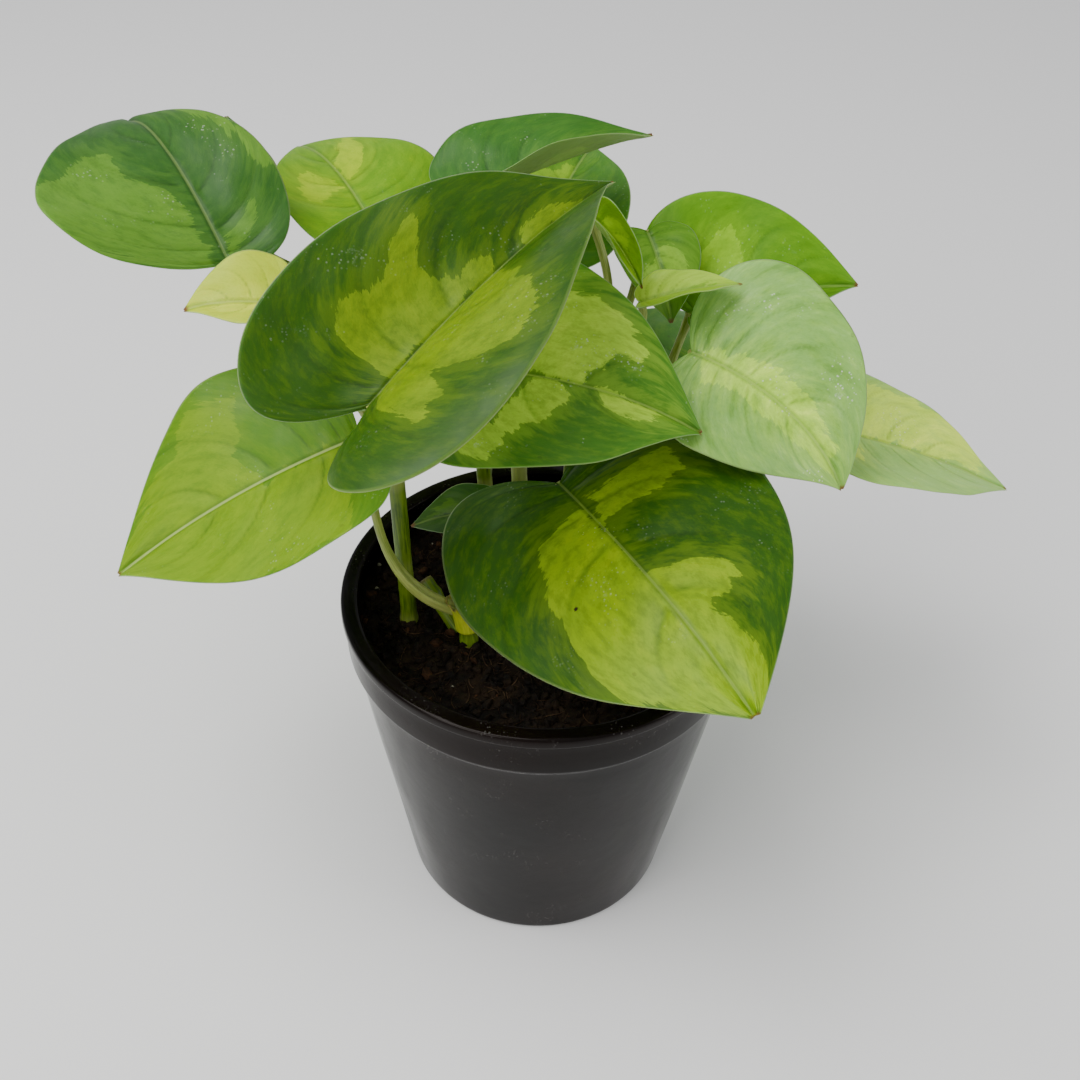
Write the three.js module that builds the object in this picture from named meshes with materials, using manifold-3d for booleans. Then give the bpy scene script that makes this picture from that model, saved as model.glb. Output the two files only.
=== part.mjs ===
// A golden pothos in a round nursery pot: a thin moulded pot with a rolled lip and drain holes,
// potting soil, six rooted vines, and heart-shaped leaves, each on a stalk of its own.
// Millimetres, +Z up. The origin is the middle of the pot's flat underside.
import * as THREE from "three";
import { mergeVertices } from "three/addons/utils/BufferGeometryUtils.js";
import Module from "manifold-3d";

const wasm = await Module();
wasm.setup();

// ---- Pot ----
const POT_HEIGHT = 98;
const RIM_RADIUS = 52.5; // outside of the lip
const BASE_RADIUS = 37.5; // outside of the wall where it meets the base
const WALL = 1.2;
const LIP_WIDTH = 4.5; // lip, measured inwards from its outside
const LIP_HEIGHT = 3;
const LIP_ROUNDING = 1;
const BAND_HEIGHT = 11; // upright band between the lip and the shoulder
const BAND_INSET = 1; // band, inside the lip's outside
const SHOULDER_STEP = 1.4; // wall, inside the band
const FOOT_RADIUS = 1.6; // rounding where the wall meets the base
const DRAIN_HOLES = 6;
const DRAIN_RADIUS = 4;
const DRAIN_INSET = 7; // hole's centre, inside the base's edge
const POT_SIDES = 48;
const DRAIN_SIDES = 20;

// ---- Soil ----
const SOIL_DROP = 9; // soil surface, below the top of the lip
const SOIL_CROWN = 1.6; // rise of the surface between its edge and its middle
const CROWN_EDGE = { radius: 0.6, drop: 0.3 }; // where it steepens, as shares of the whole
const GAP = 0.3; // between pieces that touch

// ---- Vines ----
const ROOT_DEPTH = 18; // length of vine under the soil surface
const PLANTED_RADIUS = 50.3; // soil radius that the roots below are placed in
const VINE_RADIUS = 2.2;
const VINE_SIDES = 8;
const VINE_STEPS = 8;

// ---- Leaf stalks ----
const STALK_RADIUS = 1.3;
const STALK_SIDES = 6;
const STALK_STEPS = 8;
const STALK_SETTING_OUT = 0.45; // share of its reach over which it keeps its first direction
const STALK_ARRIVING = 0.2; // the same at the blade

// ---- Leaf blades ----
const BLADE_THICKNESS = 0.8;
const BLADE_ROWS = 10; // from the notch to the tip
const BLADE_COLUMNS = 3; // from the midrib to the margin
const SPINE_STEPS = 24;
const MIDRIB_CROWDING = 2.2; // power that crowds the rows towards the notch, at the midrib
const MARGIN_CROWDING = 1.3; // the same at the margin
const TIP_POWER = 4; // how late along the blade the tip narrows
const MARGIN_RIPPLES = 5; // half waves along each margin
const SAME_PLACE = 1e-4; // corners closer than this are one

// Where each vine roots and where it ends: x and y from the pot's axis, height above the soil.
const VINES = {
  left: { root: [-35, -4], top: [-38, 4, 62] },
  front: { root: [-19, -11], top: [-21, -8, 13] },
  middle: { root: [-6, 20], top: [-8, 21, 44] },
  right: { root: [24, 29], top: [28, 34, 52] },
  rear: { root: [-16, 31], top: [-20, 36, 68] },
  rear_right: { root: [6, 36], top: [8, 44, 60] },
};

// One row for each leaf. Its stalk starts on the vine at the height from, and leaves it along
// the compass direction and the climb in leave. base is the notch where the stalk meets the
// blade. Heights are above the soil. azimuth, pitch and roll turn the blade there: the midrib's
// compass direction from +X, its climb, and how far the left side is raised. droop and curl
// lower the midrib towards the tip, curl mostly near it. Pairs are the left side, then the
// right: half is the blade's width on that side, lobe how far it reaches back past the notch,
// and fold and cup raise it, at the midrib and then evenly out to the margin. tip narrows the
// blade's end, and wave is the height of the margin's ripples. Angles are in degrees.
const LEAVES = [
  {
    name: "centre", vine: "left", from: 52, leave: [-90, 55], base: [-39, -19, 79], length: 84,
    half: [34, 43], lobe: [0.85, 1], tip: 0.45, azimuth: 48, pitch: 27, roll: 5, droop: 15,
    curl: 10, fold: [25, 60], cup: [15, -65], wave: 1, colour: 0x4f7a1e,
  },
  {
    name: "low_front", vine: "middle", from: 12, leave: [-60, 55], base: [3, 3, 41], length: 80,
    half: [43, 40], lobe: [0.6, 0.95], tip: 0.05, azimuth: -56, pitch: 0, roll: 14, droop: 13,
    curl: 10, fold: [-3, -15], cup: [-6, -18], wave: 1, colour: 0x6c9a2a,
  },
  {
    name: "lower_left", vine: "front", from: 9, leave: [185, 25], base: [-44, -7, 61], length: 70,
    half: [29, 30], lobe: [0.5, 0.2], tip: 0.3, azimuth: 192, pitch: -20, roll: -20, droop: 20,
    curl: 0, fold: [12, 15], cup: [0, 0], wave: 1.5, colour: 0x83a512,
  },
  {
    name: "centre_right", vine: "middle", from: 40, leave: [200, 55], base: [-26, 12, 68],
    length: 66, half: [36, 36], lobe: [0.7, 0.7], tip: 0.45, azimuth: -6, pitch: 5, roll: 17,
    droop: 28, curl: 10, fold: [15, 12], cup: [6, 6], wave: 1, colour: 0x78a01c,
  },
  {
    name: "right_pale", vine: "right", from: 40, leave: [-40, 55], base: [35, 28, 64], length: 54,
    half: [31, 25], lobe: [0.5, 0.5], tip: 0.3, azimuth: -26, pitch: -5, roll: 25, droop: 50,
    curl: 10, fold: [10, 0], cup: [6, 6], wave: 1, colour: 0x9abf78,
  },
  {
    name: "far_right", vine: "right", from: 20, leave: [20, 55], base: [76, 42, 31], length: 57,
    half: [24, 26], lobe: [0.7, 0.7], tip: 0.3, azimuth: 0, pitch: -10, roll: -5, droop: 20,
    curl: 0, fold: [20, 5], cup: [0, 0], wave: 1, colour: 0xb4cf8c,
  },
  {
    name: "upper_right", vine: "right", from: 48, leave: [60, 55], base: [36, 51, 61], length: 46,
    half: [30, 9], lobe: [0.7, 0.3], tip: 0.4, azimuth: 8, pitch: 20, roll: 42, droop: 25,
    curl: 0, fold: [5, 5], cup: [6, 6], wave: 1, colour: 0x769e08,
  },
  {
    name: "unfurling", vine: "right", from: 47, leave: [190, 55], base: [22, 36, 73], length: 26,
    half: [9, 10], lobe: [0.4, 0.4], tip: 0.45, azimuth: 3, pitch: 22, roll: -5, droop: 20,
    curl: 0, fold: [20, 20], cup: [0, 0], wave: 0.5, colour: 0x9fc43c,
  },
  {
    name: "top_centre", vine: "rear", from: 60, leave: [100, 55], base: [-22, 54, 91], length: 52,
    half: [21, 22], lobe: [0.6, 0.6], tip: 0.45, azimuth: 23, pitch: 18, roll: -10, droop: 15,
    curl: 0, fold: [30, 30], cup: [0, 0], wave: 1, colour: 0x699646,
  },
  {
    name: "top_behind", vine: "rear_right", from: 50, leave: [120, 55], base: [-4, 64, 72],
    length: 48, half: [22, 22], lobe: [0.7, 0.7], tip: 0.45, azimuth: 72, pitch: 25, roll: 0,
    droop: 30, curl: 0, fold: [10, 10], cup: [0, 0], wave: 1, colour: 0x5f8c28,
  },
  {
    name: "curled", vine: "rear_right", from: 56, leave: [0, 60], base: [9, 50, 89], length: 24,
    half: [9, 9], lobe: [0.4, 0.4], tip: 0.45, azimuth: -50, pitch: -10, roll: 20, droop: 40,
    curl: 0, fold: [50, 50], cup: [40, 40], wave: 0.5, colour: 0x8fb41e,
  },
  {
    name: "pale_right", vine: "rear_right", from: 44, leave: [20, 55], base: [24, 59, 80],
    length: 26, half: [12, 12], lobe: [0.5, 0.5], tip: 0.45, azimuth: -70, pitch: -20, roll: 0,
    droop: 40, curl: 0, fold: [10, 10], cup: [0, 0], wave: 0.5, colour: 0xbed796,
  },
  {
    name: "upper_left", vine: "left", from: 48, leave: [130, 55], base: [-76, 22, 89], length: 66,
    half: [37, 22], lobe: [0.1, 0.35], tip: 0.7, azimuth: 126, pitch: 38, roll: 0, droop: 30,
    curl: 60, fold: [5, 5], cup: [5, 5], wave: 1, colour: 0x6f9648,
  },
  {
    name: "upper_left_behind", vine: "rear", from: 50, leave: [170, 55], base: [-76, 52, 78],
    length: 48, half: [20, 10], lobe: [0.4, 0.4], tip: 0.45, azimuth: 108, pitch: 33, roll: 0,
    droop: 30, curl: 0, fold: [5, 5], cup: [0, 0], wave: 1, colour: 0x55803a,
  },
  {
    name: "pale_young", vine: "left", from: 60, leave: [90, 75], base: [-62, 9, 86], length: 23,
    half: [9, 13], lobe: [0.5, 0.5], tip: 0.45, azimuth: 185, pitch: 12, roll: -20, droop: 30,
    curl: 0, fold: [20, 20], cup: [0, 0], wave: 0.5, colour: 0xe1e678,
  },
  {
    name: "top_lime", vine: "rear", from: 64, leave: [160, 55], base: [-46, 50, 85], length: 46,
    half: [20, 26], lobe: [0.6, 0.6], tip: 0.45, azimuth: 122, pitch: 25, roll: 0, droop: 40,
    curl: 10, fold: [5, 5], cup: [0, 0], wave: 1, colour: 0x9bbe0c,
  },
  {
    name: "small_shaded", vine: "middle", from: 6, leave: [200, 55], base: [-13, 19, 18],
    length: 24, half: [12, 11], lobe: [0.6, 0.4], tip: 0.45, azimuth: 186, pitch: 5, roll: 0,
    droop: 30, curl: 0, fold: [10, 10], cup: [0, 0], wave: 0.5, colour: 0x2f5a14,
  },
  {
    name: "back_left", vine: "rear", from: 36, leave: [120, 55], base: [-40, 62, 46], length: 62,
    half: [27, 27], lobe: [0.7, 0.7], tip: 0.45, azimuth: 125, pitch: 10, roll: 0, droop: 50,
    curl: 0, fold: [8, 8], cup: [5, 5], wave: 1, colour: 0x5f8c28,
  },
  {
    name: "back_right", vine: "rear_right", from: 30, leave: [60, 55], base: [36, 66, 32],
    length: 58, half: [26, 26], lobe: [0.7, 0.7], tip: 0.45, azimuth: 55, pitch: 5, roll: 0,
    droop: 50, curl: 0, fold: [8, 8], cup: [5, 5], wave: 1, colour: 0x5f8c28,
  },
  {
    name: "back_low", vine: "rear", from: 8, leave: [95, 40], base: [-15, 52, 21], length: 50,
    half: [23, 23], lobe: [0.6, 0.6], tip: 0.45, azimuth: 108, pitch: 8, roll: 0, droop: 30,
    curl: 0, fold: [8, 8], cup: [5, 5], wave: 1, colour: 0x6f9c28,
  },
];

const rad = THREE.MathUtils.degToRad;

// ---- Solids ----

// A geometry as a manifold-3d solid, for joins and cuts.
function solidOf(geometry) {
  const bare = geometry.clone();
  bare.deleteAttribute("normal");
  bare.deleteAttribute("uv");
  const merged = mergeVertices(bare, SAME_PLACE);
  return new wasm.Manifold(
    new wasm.Mesh({
      numProp: 3,
      vertProperties: new Float32Array(merged.attributes.position.array),
      triVerts: new Uint32Array(merged.index.array),
    }),
  );
}

function geometryOf(solid) {
  const mesh = solid.getMesh();
  const geometry = new THREE.BufferGeometry();
  geometry.setAttribute("position", new THREE.BufferAttribute(mesh.vertProperties, 3));
  geometry.setIndex(new THREE.BufferAttribute(mesh.triVerts, 1));
  geometry.computeVertexNormals();
  return geometry;
}

// A lathe turned about the Z axis. profile lists [radius, z].
function turned(profile, sides) {
  const points = profile.map(([radius, z]) => new THREE.Vector2(radius, z));
  return new THREE.LatheGeometry(points, sides).rotateX(Math.PI / 2);
}

// A round bar of the given radius along a curve.
function barAlong(curve, radius, sides, steps) {
  const section = new THREE.Shape();
  for (let side = 0; side < sides; side++) {
    const angle = (2 * Math.PI * side) / sides;
    const corner = [radius * Math.cos(angle), radius * Math.sin(angle)];
    if (side === 0) section.moveTo(...corner);
    else section.lineTo(...corner);
  }
  return new THREE.ExtrudeGeometry(section, { steps, extrudePath: curve });
}

// ---- Pot and soil ----

const bandRadius = RIM_RADIUS - BAND_INSET;
const shoulderRadius = bandRadius - SHOULDER_STEP;
const shoulderZ = POT_HEIGHT - LIP_HEIGHT - BAND_HEIGHT;
const soilZ = POT_HEIGHT - SOIL_DROP;

// Inside radius of the pot at a height: the tapered wall, then the upright band.
function insideRadius(z) {
  if (z > shoulderZ) return bandRadius - WALL;
  const share = (z - FOOT_RADIUS) / (shoulderZ - FOOT_RADIUS);
  return THREE.MathUtils.lerp(BASE_RADIUS, shoulderRadius, Math.max(share, 0)) - WALL;
}

function potGeometry() {
  const lipInner = RIM_RADIUS - LIP_WIDTH;
  const body = turned(
    [
      [0, 0],
      [BASE_RADIUS - FOOT_RADIUS, 0],
      [BASE_RADIUS, FOOT_RADIUS],
      [shoulderRadius, shoulderZ],
      [bandRadius, shoulderZ + SHOULDER_STEP],
      [bandRadius, POT_HEIGHT - LIP_HEIGHT],
      [RIM_RADIUS, POT_HEIGHT - LIP_HEIGHT],
      [RIM_RADIUS, POT_HEIGHT - LIP_ROUNDING],
      [RIM_RADIUS - LIP_ROUNDING, POT_HEIGHT],
      [lipInner + LIP_ROUNDING, POT_HEIGHT],
      [lipInner, POT_HEIGHT - LIP_ROUNDING],
      [lipInner, POT_HEIGHT - LIP_HEIGHT],
      [bandRadius - WALL, POT_HEIGHT - LIP_HEIGHT - WALL],
      [bandRadius - WALL, shoulderZ],
      [insideRadius(shoulderZ), shoulderZ],
      [BASE_RADIUS - WALL, FOOT_RADIUS + WALL],
      [BASE_RADIUS - WALL - FOOT_RADIUS, WALL],
      [0, WALL],
    ],
    POT_SIDES,
  );
  let pot = solidOf(body);
  for (let hole = 0; hole < DRAIN_HOLES; hole++) {
    const angle = (2 * Math.PI * hole) / DRAIN_HOLES;
    const reach = BASE_RADIUS - DRAIN_INSET;
    const drill = new THREE.CylinderGeometry(DRAIN_RADIUS, DRAIN_RADIUS, 3 * WALL, DRAIN_SIDES)
      .rotateX(Math.PI / 2)
      .translate(reach * Math.cos(angle), reach * Math.sin(angle), 0);
    pot = pot.subtract(solidOf(drill));
  }
  return geometryOf(pot);
}

// The roots draw in or out with the soil's edge.
const rootSpread = insideRadius(soilZ) / PLANTED_RADIUS;
const vineCurves = {};
for (const [name, vine] of Object.entries(VINES)) {
  const [x, y] = vine.root.map((place) => place * rootSpread);
  const [topX, topY, rise] = vine.top;
  vineCurves[name] = new THREE.CatmullRomCurve3([
    new THREE.Vector3(x, y, soilZ - ROOT_DEPTH),
    new THREE.Vector3(x, y, soilZ),
    new THREE.Vector3((x + topX) / 2, (y + topY) / 2, soilZ + rise / 2),
    new THREE.Vector3(topX, topY, soilZ + rise),
  ]);
}

function soilGeometry() {
  const edge = insideRadius(soilZ) - GAP;
  const low = WALL + GAP;
  const floorEdge = BASE_RADIUS - WALL - FOOT_RADIUS - GAP;
  const body = turned(
    [
      [0, low],
      [floorEdge, low],
      [BASE_RADIUS - WALL - GAP, FOOT_RADIUS + WALL + GAP],
      [insideRadius(shoulderZ) - GAP, shoulderZ + GAP],
      [edge, shoulderZ + GAP],
      [edge, soilZ - SOIL_CROWN],
      [edge * CROWN_EDGE.radius, soilZ - SOIL_CROWN * CROWN_EDGE.drop],
      [0, soilZ],
    ],
    POT_SIDES,
  );
  let soil = solidOf(body);
  for (const curve of Object.values(vineCurves)) {
    const start = curve.getPoint(0);
    const length = ROOT_DEPTH + SOIL_DROP;
    const sleeve = new THREE.CylinderGeometry(
      VINE_RADIUS + 2 * GAP, VINE_RADIUS + 2 * GAP, length, VINE_SIDES * 2)
      .rotateX(Math.PI / 2)
      .translate(start.x, start.y, start.z - GAP + length / 2);
    soil = soil.subtract(solidOf(sleeve));
  }
  return geometryOf(soil);
}

// ---- Leaf blades ----

// The blade's frame at share s of the way along its midrib: forward, left and upward.
function bladeFrame(leaf, s) {
  const beyond = Math.max(s, 0);
  const climb = rad(leaf.pitch - leaf.droop * s - leaf.curl * beyond ** 3);
  const heading = rad(leaf.azimuth);
  const tilt = rad(leaf.roll);
  const forward = new THREE.Vector3(
    Math.cos(heading) * Math.cos(climb),
    Math.sin(heading) * Math.cos(climb),
    Math.sin(climb),
  );
  const level = new THREE.Vector3(-Math.sin(heading), Math.cos(heading), 0);
  const above = new THREE.Vector3().crossVectors(forward, level);
  const left = level.clone().multiplyScalar(Math.cos(tilt)).addScaledVector(above, Math.sin(tilt));
  const up = above.multiplyScalar(Math.cos(tilt)).addScaledVector(level, -Math.sin(tilt));
  return { forward, left, up };
}

// The midrib's place at share s, found by walking along it in short straight steps.
function midribPoint(leaf, s) {
  const [x, y, height] = leaf.base;
  const point = new THREE.Vector3(x, y, soilZ + height);
  const steps = Math.max(1, Math.ceil(Math.abs(s) * SPINE_STEPS));
  for (let step = 0; step < steps; step++) {
    const middle = (s * (step + 0.5)) / steps;
    point.addScaledVector(bladeFrame(leaf, middle).forward, (leaf.length * s) / steps);
  }
  return point;
}

// The blade's upper or lower face at u across (-1 right margin, 1 left margin) and v from the
// notch to the tip. Each line across runs from the midrib to the heart-shaped outline.
function bladePoint(leaf, u, v, face) {
  const side = Math.sign(u);
  const out = Math.abs(u);
  const which = side > 0 ? 0 : 1;
  const bulge = Math.sin(Math.PI * v);
  const edgeS = v ** MARGIN_CROWDING - leaf.lobe[which] * bulge * (1 - v) ** 2;
  const edgeY = leaf.half[which] * bulge * (1 - leaf.tip * v ** TIP_POWER);
  const s = THREE.MathUtils.lerp(v ** MIDRIB_CROWDING, edgeS, out);
  const across = edgeY * out;
  const share = across / leaf.half[which];
  const lean = rad(leaf.fold[which] + (leaf.cup[which] * share) / 2);
  const faceLean = share > SAME_PLACE ? rad(leaf.fold[which] + leaf.cup[which] * share) : 0;
  const ripple = leaf.wave * share ** 2 * Math.sin(Math.PI * (MARGIN_RIPPLES * v + side / 2));
  const { left, up } = bladeFrame(leaf, s);
  const point = midribPoint(leaf, s);
  point.addScaledVector(left, side * across * Math.cos(lean));
  point.addScaledVector(up, across * Math.sin(lean) + ripple);
  const half = (face * BLADE_THICKNESS) / 2;
  point.addScaledVector(up, half * Math.cos(faceLean));
  point.addScaledVector(left, -side * half * Math.sin(faceLean));
  return point;
}

// A closed blade: an upper and a lower face that share a thin margin.
function bladeGeometry(leaf) {
  const positions = [];
  const index = [];
  const columns = 2 * BLADE_COLUMNS;
  const corner = (face, row, column) => {
    const point = bladePoint(leaf, column / BLADE_COLUMNS - 1, row / BLADE_ROWS, face);
    return [point.x, point.y, point.z];
  };
  const addQuad = (a, b, c, d) => {
    const start = positions.length / 3;
    positions.push(...a, ...b, ...c, ...d);
    index.push(start, start + 1, start + 2, start, start + 2, start + 3);
  };
  for (let row = 0; row < BLADE_ROWS; row++) {
    for (let column = 0; column < columns; column++) {
      addQuad(
        corner(1, row, column + 1), corner(1, row, column),
        corner(1, row + 1, column), corner(1, row + 1, column + 1));
      addQuad(
        corner(-1, row, column), corner(-1, row, column + 1),
        corner(-1, row + 1, column + 1), corner(-1, row + 1, column));
    }
    addQuad(corner(-1, row, columns), corner(1, row, columns),
      corner(1, row + 1, columns), corner(-1, row + 1, columns));
    addQuad(corner(1, row, 0), corner(-1, row, 0),
      corner(-1, row + 1, 0), corner(1, row + 1, 0));
  }
  const geometry = new THREE.BufferGeometry();
  geometry.setAttribute("position", new THREE.Float32BufferAttribute(positions, 3));
  geometry.setIndex(index);
  return geometryOf(solidOf(withoutSlivers(mergeVertices(geometry, SAME_PLACE))));
}

// The rows of quads close to a point at the notch and at the tip, which leaves triangles with
// two corners in one place: these are dropped.
function withoutSlivers(geometry) {
  const kept = [];
  const index = geometry.index.array;
  for (let at = 0; at < index.length; at += 3) {
    const [a, b, c] = [index[at], index[at + 1], index[at + 2]];
    if (a !== b && b !== c && c !== a) kept.push(a, b, c);
  }
  geometry.setIndex(kept);
  return geometry;
}

// ---- Stalks ----

// The point of a vine's axis at a height above the soil.
function vineAxis(name, height) {
  const curve = vineCurves[name];
  let low = 0;
  let high = 1;
  while (high - low > SAME_PLACE) {
    const middle = (low + high) / 2;
    if (curve.getPoint(middle).z < soilZ + height) low = middle;
    else high = middle;
  }
  return curve.getPoint(low);
}

// A stalk leaves its vine sideways and upwards, and reaches the blade's notch from below.
function stalkGeometry(leaf) {
  const axis = vineAxis(leaf.vine, leaf.from);
  const { up } = bladeFrame(leaf, 0);
  const dip = Math.max(0, ...leaf.fold.map((fold) => -Math.tan(rad(fold))));
  const under = BLADE_THICKNESS / 2 + GAP + dip * STALK_RADIUS;
  const end = midribPoint(leaf, 0).addScaledVector(up, -under);
  const [heading, leaving] = leaf.leave.map(rad);
  const outward = new THREE.Vector3(Math.cos(heading), Math.sin(heading), 0);
  const clear = VINE_RADIUS + GAP + STALK_RADIUS * Math.sin(leaving);
  const start = axis.clone().addScaledVector(outward, clear);
  const reach = start.distanceTo(end);
  const first = outward.clone().multiplyScalar(Math.cos(leaving));
  first.z = Math.sin(leaving);
  const curve = new THREE.CubicBezierCurve3(
    start,
    start.clone().addScaledVector(first, reach * STALK_SETTING_OUT),
    end.clone().addScaledVector(up, -reach * STALK_ARRIVING),
    end,
  );
  return barAlong(curve, STALK_RADIUS, STALK_SIDES, STALK_STEPS);
}

// ---- Assembly ----

const group = new THREE.Group();

function addPiece(name, geometry, colour, roughness) {
  const material = new THREE.MeshStandardMaterial({ color: colour, roughness, metalness: 0 });
  const mesh = new THREE.Mesh(geometry, material);
  mesh.name = name;
  group.add(mesh);
}

addPiece("nursery_pot", potGeometry(), 0x15120f, 0.3);
addPiece("potting_soil", soilGeometry(), 0x1c140c, 1);
for (const [name, curve] of Object.entries(vineCurves)) {
  addPiece(`vine_${name}`, barAlong(curve, VINE_RADIUS, VINE_SIDES, VINE_STEPS), 0x4a6410, 0.5);
}
for (const leaf of LEAVES) {
  addPiece(`leaf_${leaf.name}`, bladeGeometry(leaf), leaf.colour, 0.35);
  addPiece(`stalk_${leaf.name}`, stalkGeometry(leaf), 0x7c8a3c, 0.45);
}

export default group;
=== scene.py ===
"""A golden pothos in a round nursery pot.

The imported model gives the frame. Each leaf blade, leaf stalk, vine, the soil and the pot get a
finished piece that stands for its plain node. Shapes are worked out in millimetres with numpy
and put into the mesh in metres.
"""
import math
import bmesh
import bpy
import numpy as np
from mathutils import Matrix, Vector


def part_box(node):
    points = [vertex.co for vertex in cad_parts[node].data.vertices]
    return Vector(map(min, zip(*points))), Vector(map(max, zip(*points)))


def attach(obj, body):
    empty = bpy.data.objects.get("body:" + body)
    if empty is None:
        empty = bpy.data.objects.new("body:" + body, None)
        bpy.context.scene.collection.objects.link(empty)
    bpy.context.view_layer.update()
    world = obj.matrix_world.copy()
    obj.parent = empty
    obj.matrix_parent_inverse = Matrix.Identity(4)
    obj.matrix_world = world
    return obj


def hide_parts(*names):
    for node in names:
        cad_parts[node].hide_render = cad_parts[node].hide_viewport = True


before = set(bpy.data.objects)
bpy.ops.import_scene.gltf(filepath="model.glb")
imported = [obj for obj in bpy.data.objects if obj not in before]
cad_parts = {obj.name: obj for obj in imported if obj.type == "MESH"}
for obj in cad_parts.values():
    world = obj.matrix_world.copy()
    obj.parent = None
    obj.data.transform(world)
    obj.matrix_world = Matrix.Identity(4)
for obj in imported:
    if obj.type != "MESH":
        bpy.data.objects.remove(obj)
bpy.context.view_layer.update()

MM = 0.001

# ---------------------------------------------------------------- sizes, in millimetres

POT_BOX = [np.array(corner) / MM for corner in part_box("nursery_pot")]
SOIL_BOX = [np.array(corner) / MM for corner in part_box("potting_soil")]
POT_HEIGHT = POT_BOX[1][2]
RIM_RADIUS = POT_BOX[1][0]
SOIL_Z = SOIL_BOX[1][2]
SOIL_LOW_Z = SOIL_BOX[0][2]
BASE_RADIUS = 37.5
WALL = 1.2
LIP_WIDTH = 4.5
LIP_HEIGHT = 3.0
BAND_HEIGHT = 11.0
BAND_INSET = 1.0
SHOULDER_STEP = 1.4
FOOT_RADIUS = 1.6
DRAIN_HOLES = 6
DRAIN_RADIUS = 4.0
DRAIN_INSET = 7.0
POT_SIDES = 180
WALL_WAVER = 0.16
GAP = 0.3

# The soil's top: how far below its node it lies, its crown, its heaps and its crumbs.
SOIL_DIP = 0.9
SOIL_CROWN = 1.2
ROOT_HEAP = 0.9
HEAP_WIDTH = 6
CRUMB_HEIGHT = 0.75

ROOT_DEPTH = 18.0
VINE_RADIUS = 2.2
STALK_RADIUS = 1.3
BLADE_THICKNESS = 0.55
NODE_BLADE_THICKNESS = 0.8
SIDE_VEINS = 6
LARGE_HALF = 20
USUAL_HALF = 35
BUCKLE = 1.0
VEIN_GROOVE = 0.12
VEIN_FURROW = 0.34
MIDRIB_SINK = 0.35
MIDRIB_RISE = 0.95
PATCH_TEETH = 1.5
FAR_FROM_PATCH = -30.0

# Sides of the round pieces.
VINE_SIDES = 28
STALK_SIDES = 24
STUB_SIDES = 24
SOIL_SIDES = 260
DRAIN_SIDES = 40

# Columns for each face of a blade, and rows, on large and on small blades.
LARGE_GRID = (60, 120)
SMALL_GRID = (34, 64)

# Heights below and above the pot's base that the drain holes are cut between.
DRAIN_CUT = (-2.0, 3.5)
MERGE_DISTANCE = 0.002
SHARP_DEGREES = 38

# A lump's middle stands above the soil by this times its size times half less its sunk share.
LUMP_SEAT = 1 / math.sqrt(3)

# First seeds. The vines, and then the blades, count up from theirs.
VINE_SEED = 30
BLADE_SEED = 100
BLADE_SEED_STEP = 7

# The camera: lens and sensor in millimetres, angles in degrees, distance and target in metres.
CAMERA_LENS = 46.7
CAMERA_SENSOR = 36
CAMERA_ELEVATION = 41
CAMERA_ROLL = 1.7
CAMERA_DISTANCE = 0.353
CAMERA_TARGET = (-0.0014, 0, 0.114)

# Each lamp's place and side in metres, its power in watts and its colour.
LAMP_AIM = (0, 0, 0.12)
LAMPS = {
    "sky_lamp": ((-0.4, -0.1, 1.0), 0.7, 9.5, (1.0, 0.99, 0.97)),
    "front_lamp": ((-0.7, -0.9, 0.8), 0.7, 6, (1.0, 0.98, 0.95)),
    "side_lamp": ((1.0, -0.2, 0.5), 0.6, 3, (1.0, 0.99, 0.97)),
}
FLOOR_HALF = 3.0
AIR_STRENGTH = 0.6

# Root x and y from the pot's axis, then the top's x, y and height above the soil.
VINES = {
    "left": ((-35, -4), (-38, 4, 62)),
    "front": ((-19, -11), (-21, -8, 13)),
    "middle": ((-6, 20), (-8, 21, 44)),
    "right": ((24, 29), (28, 34, 52)),
    "rear": ((-16, 31), (-20, 36, 68)),
    "rear_right": ((6, 36), (8, 44, 60)),
}


def leaf(vine, start, leave, base, length, half, lobe, tip, turn, bend, fold, cup, wave):
    """One blade's shape, in millimetres and degrees. Its stalk leaves the vine at the height
    start above the soil, with leave as its (heading, climb). base is the notch's x and y from
    the pot's axis and its height above the soil. half is the half width and lobe the share of
    the length that the margin reaches back by. tip narrows the far end and wave is the ripple's
    height. turn is (azimuth, pitch, roll) and bend is (droop, curl). half, lobe, fold and cup
    are pairs, the left side and then the right."""
    return dict(
        vine=vine, start=start, leave=leave, base=base, length=length, half=half, lobe=lobe,
        tip=tip, azimuth=turn[0], pitch=turn[1], roll=turn[2], droop=bend[0], curl=bend[1],
        fold=fold, cup=cup, wave=wave)


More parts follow.
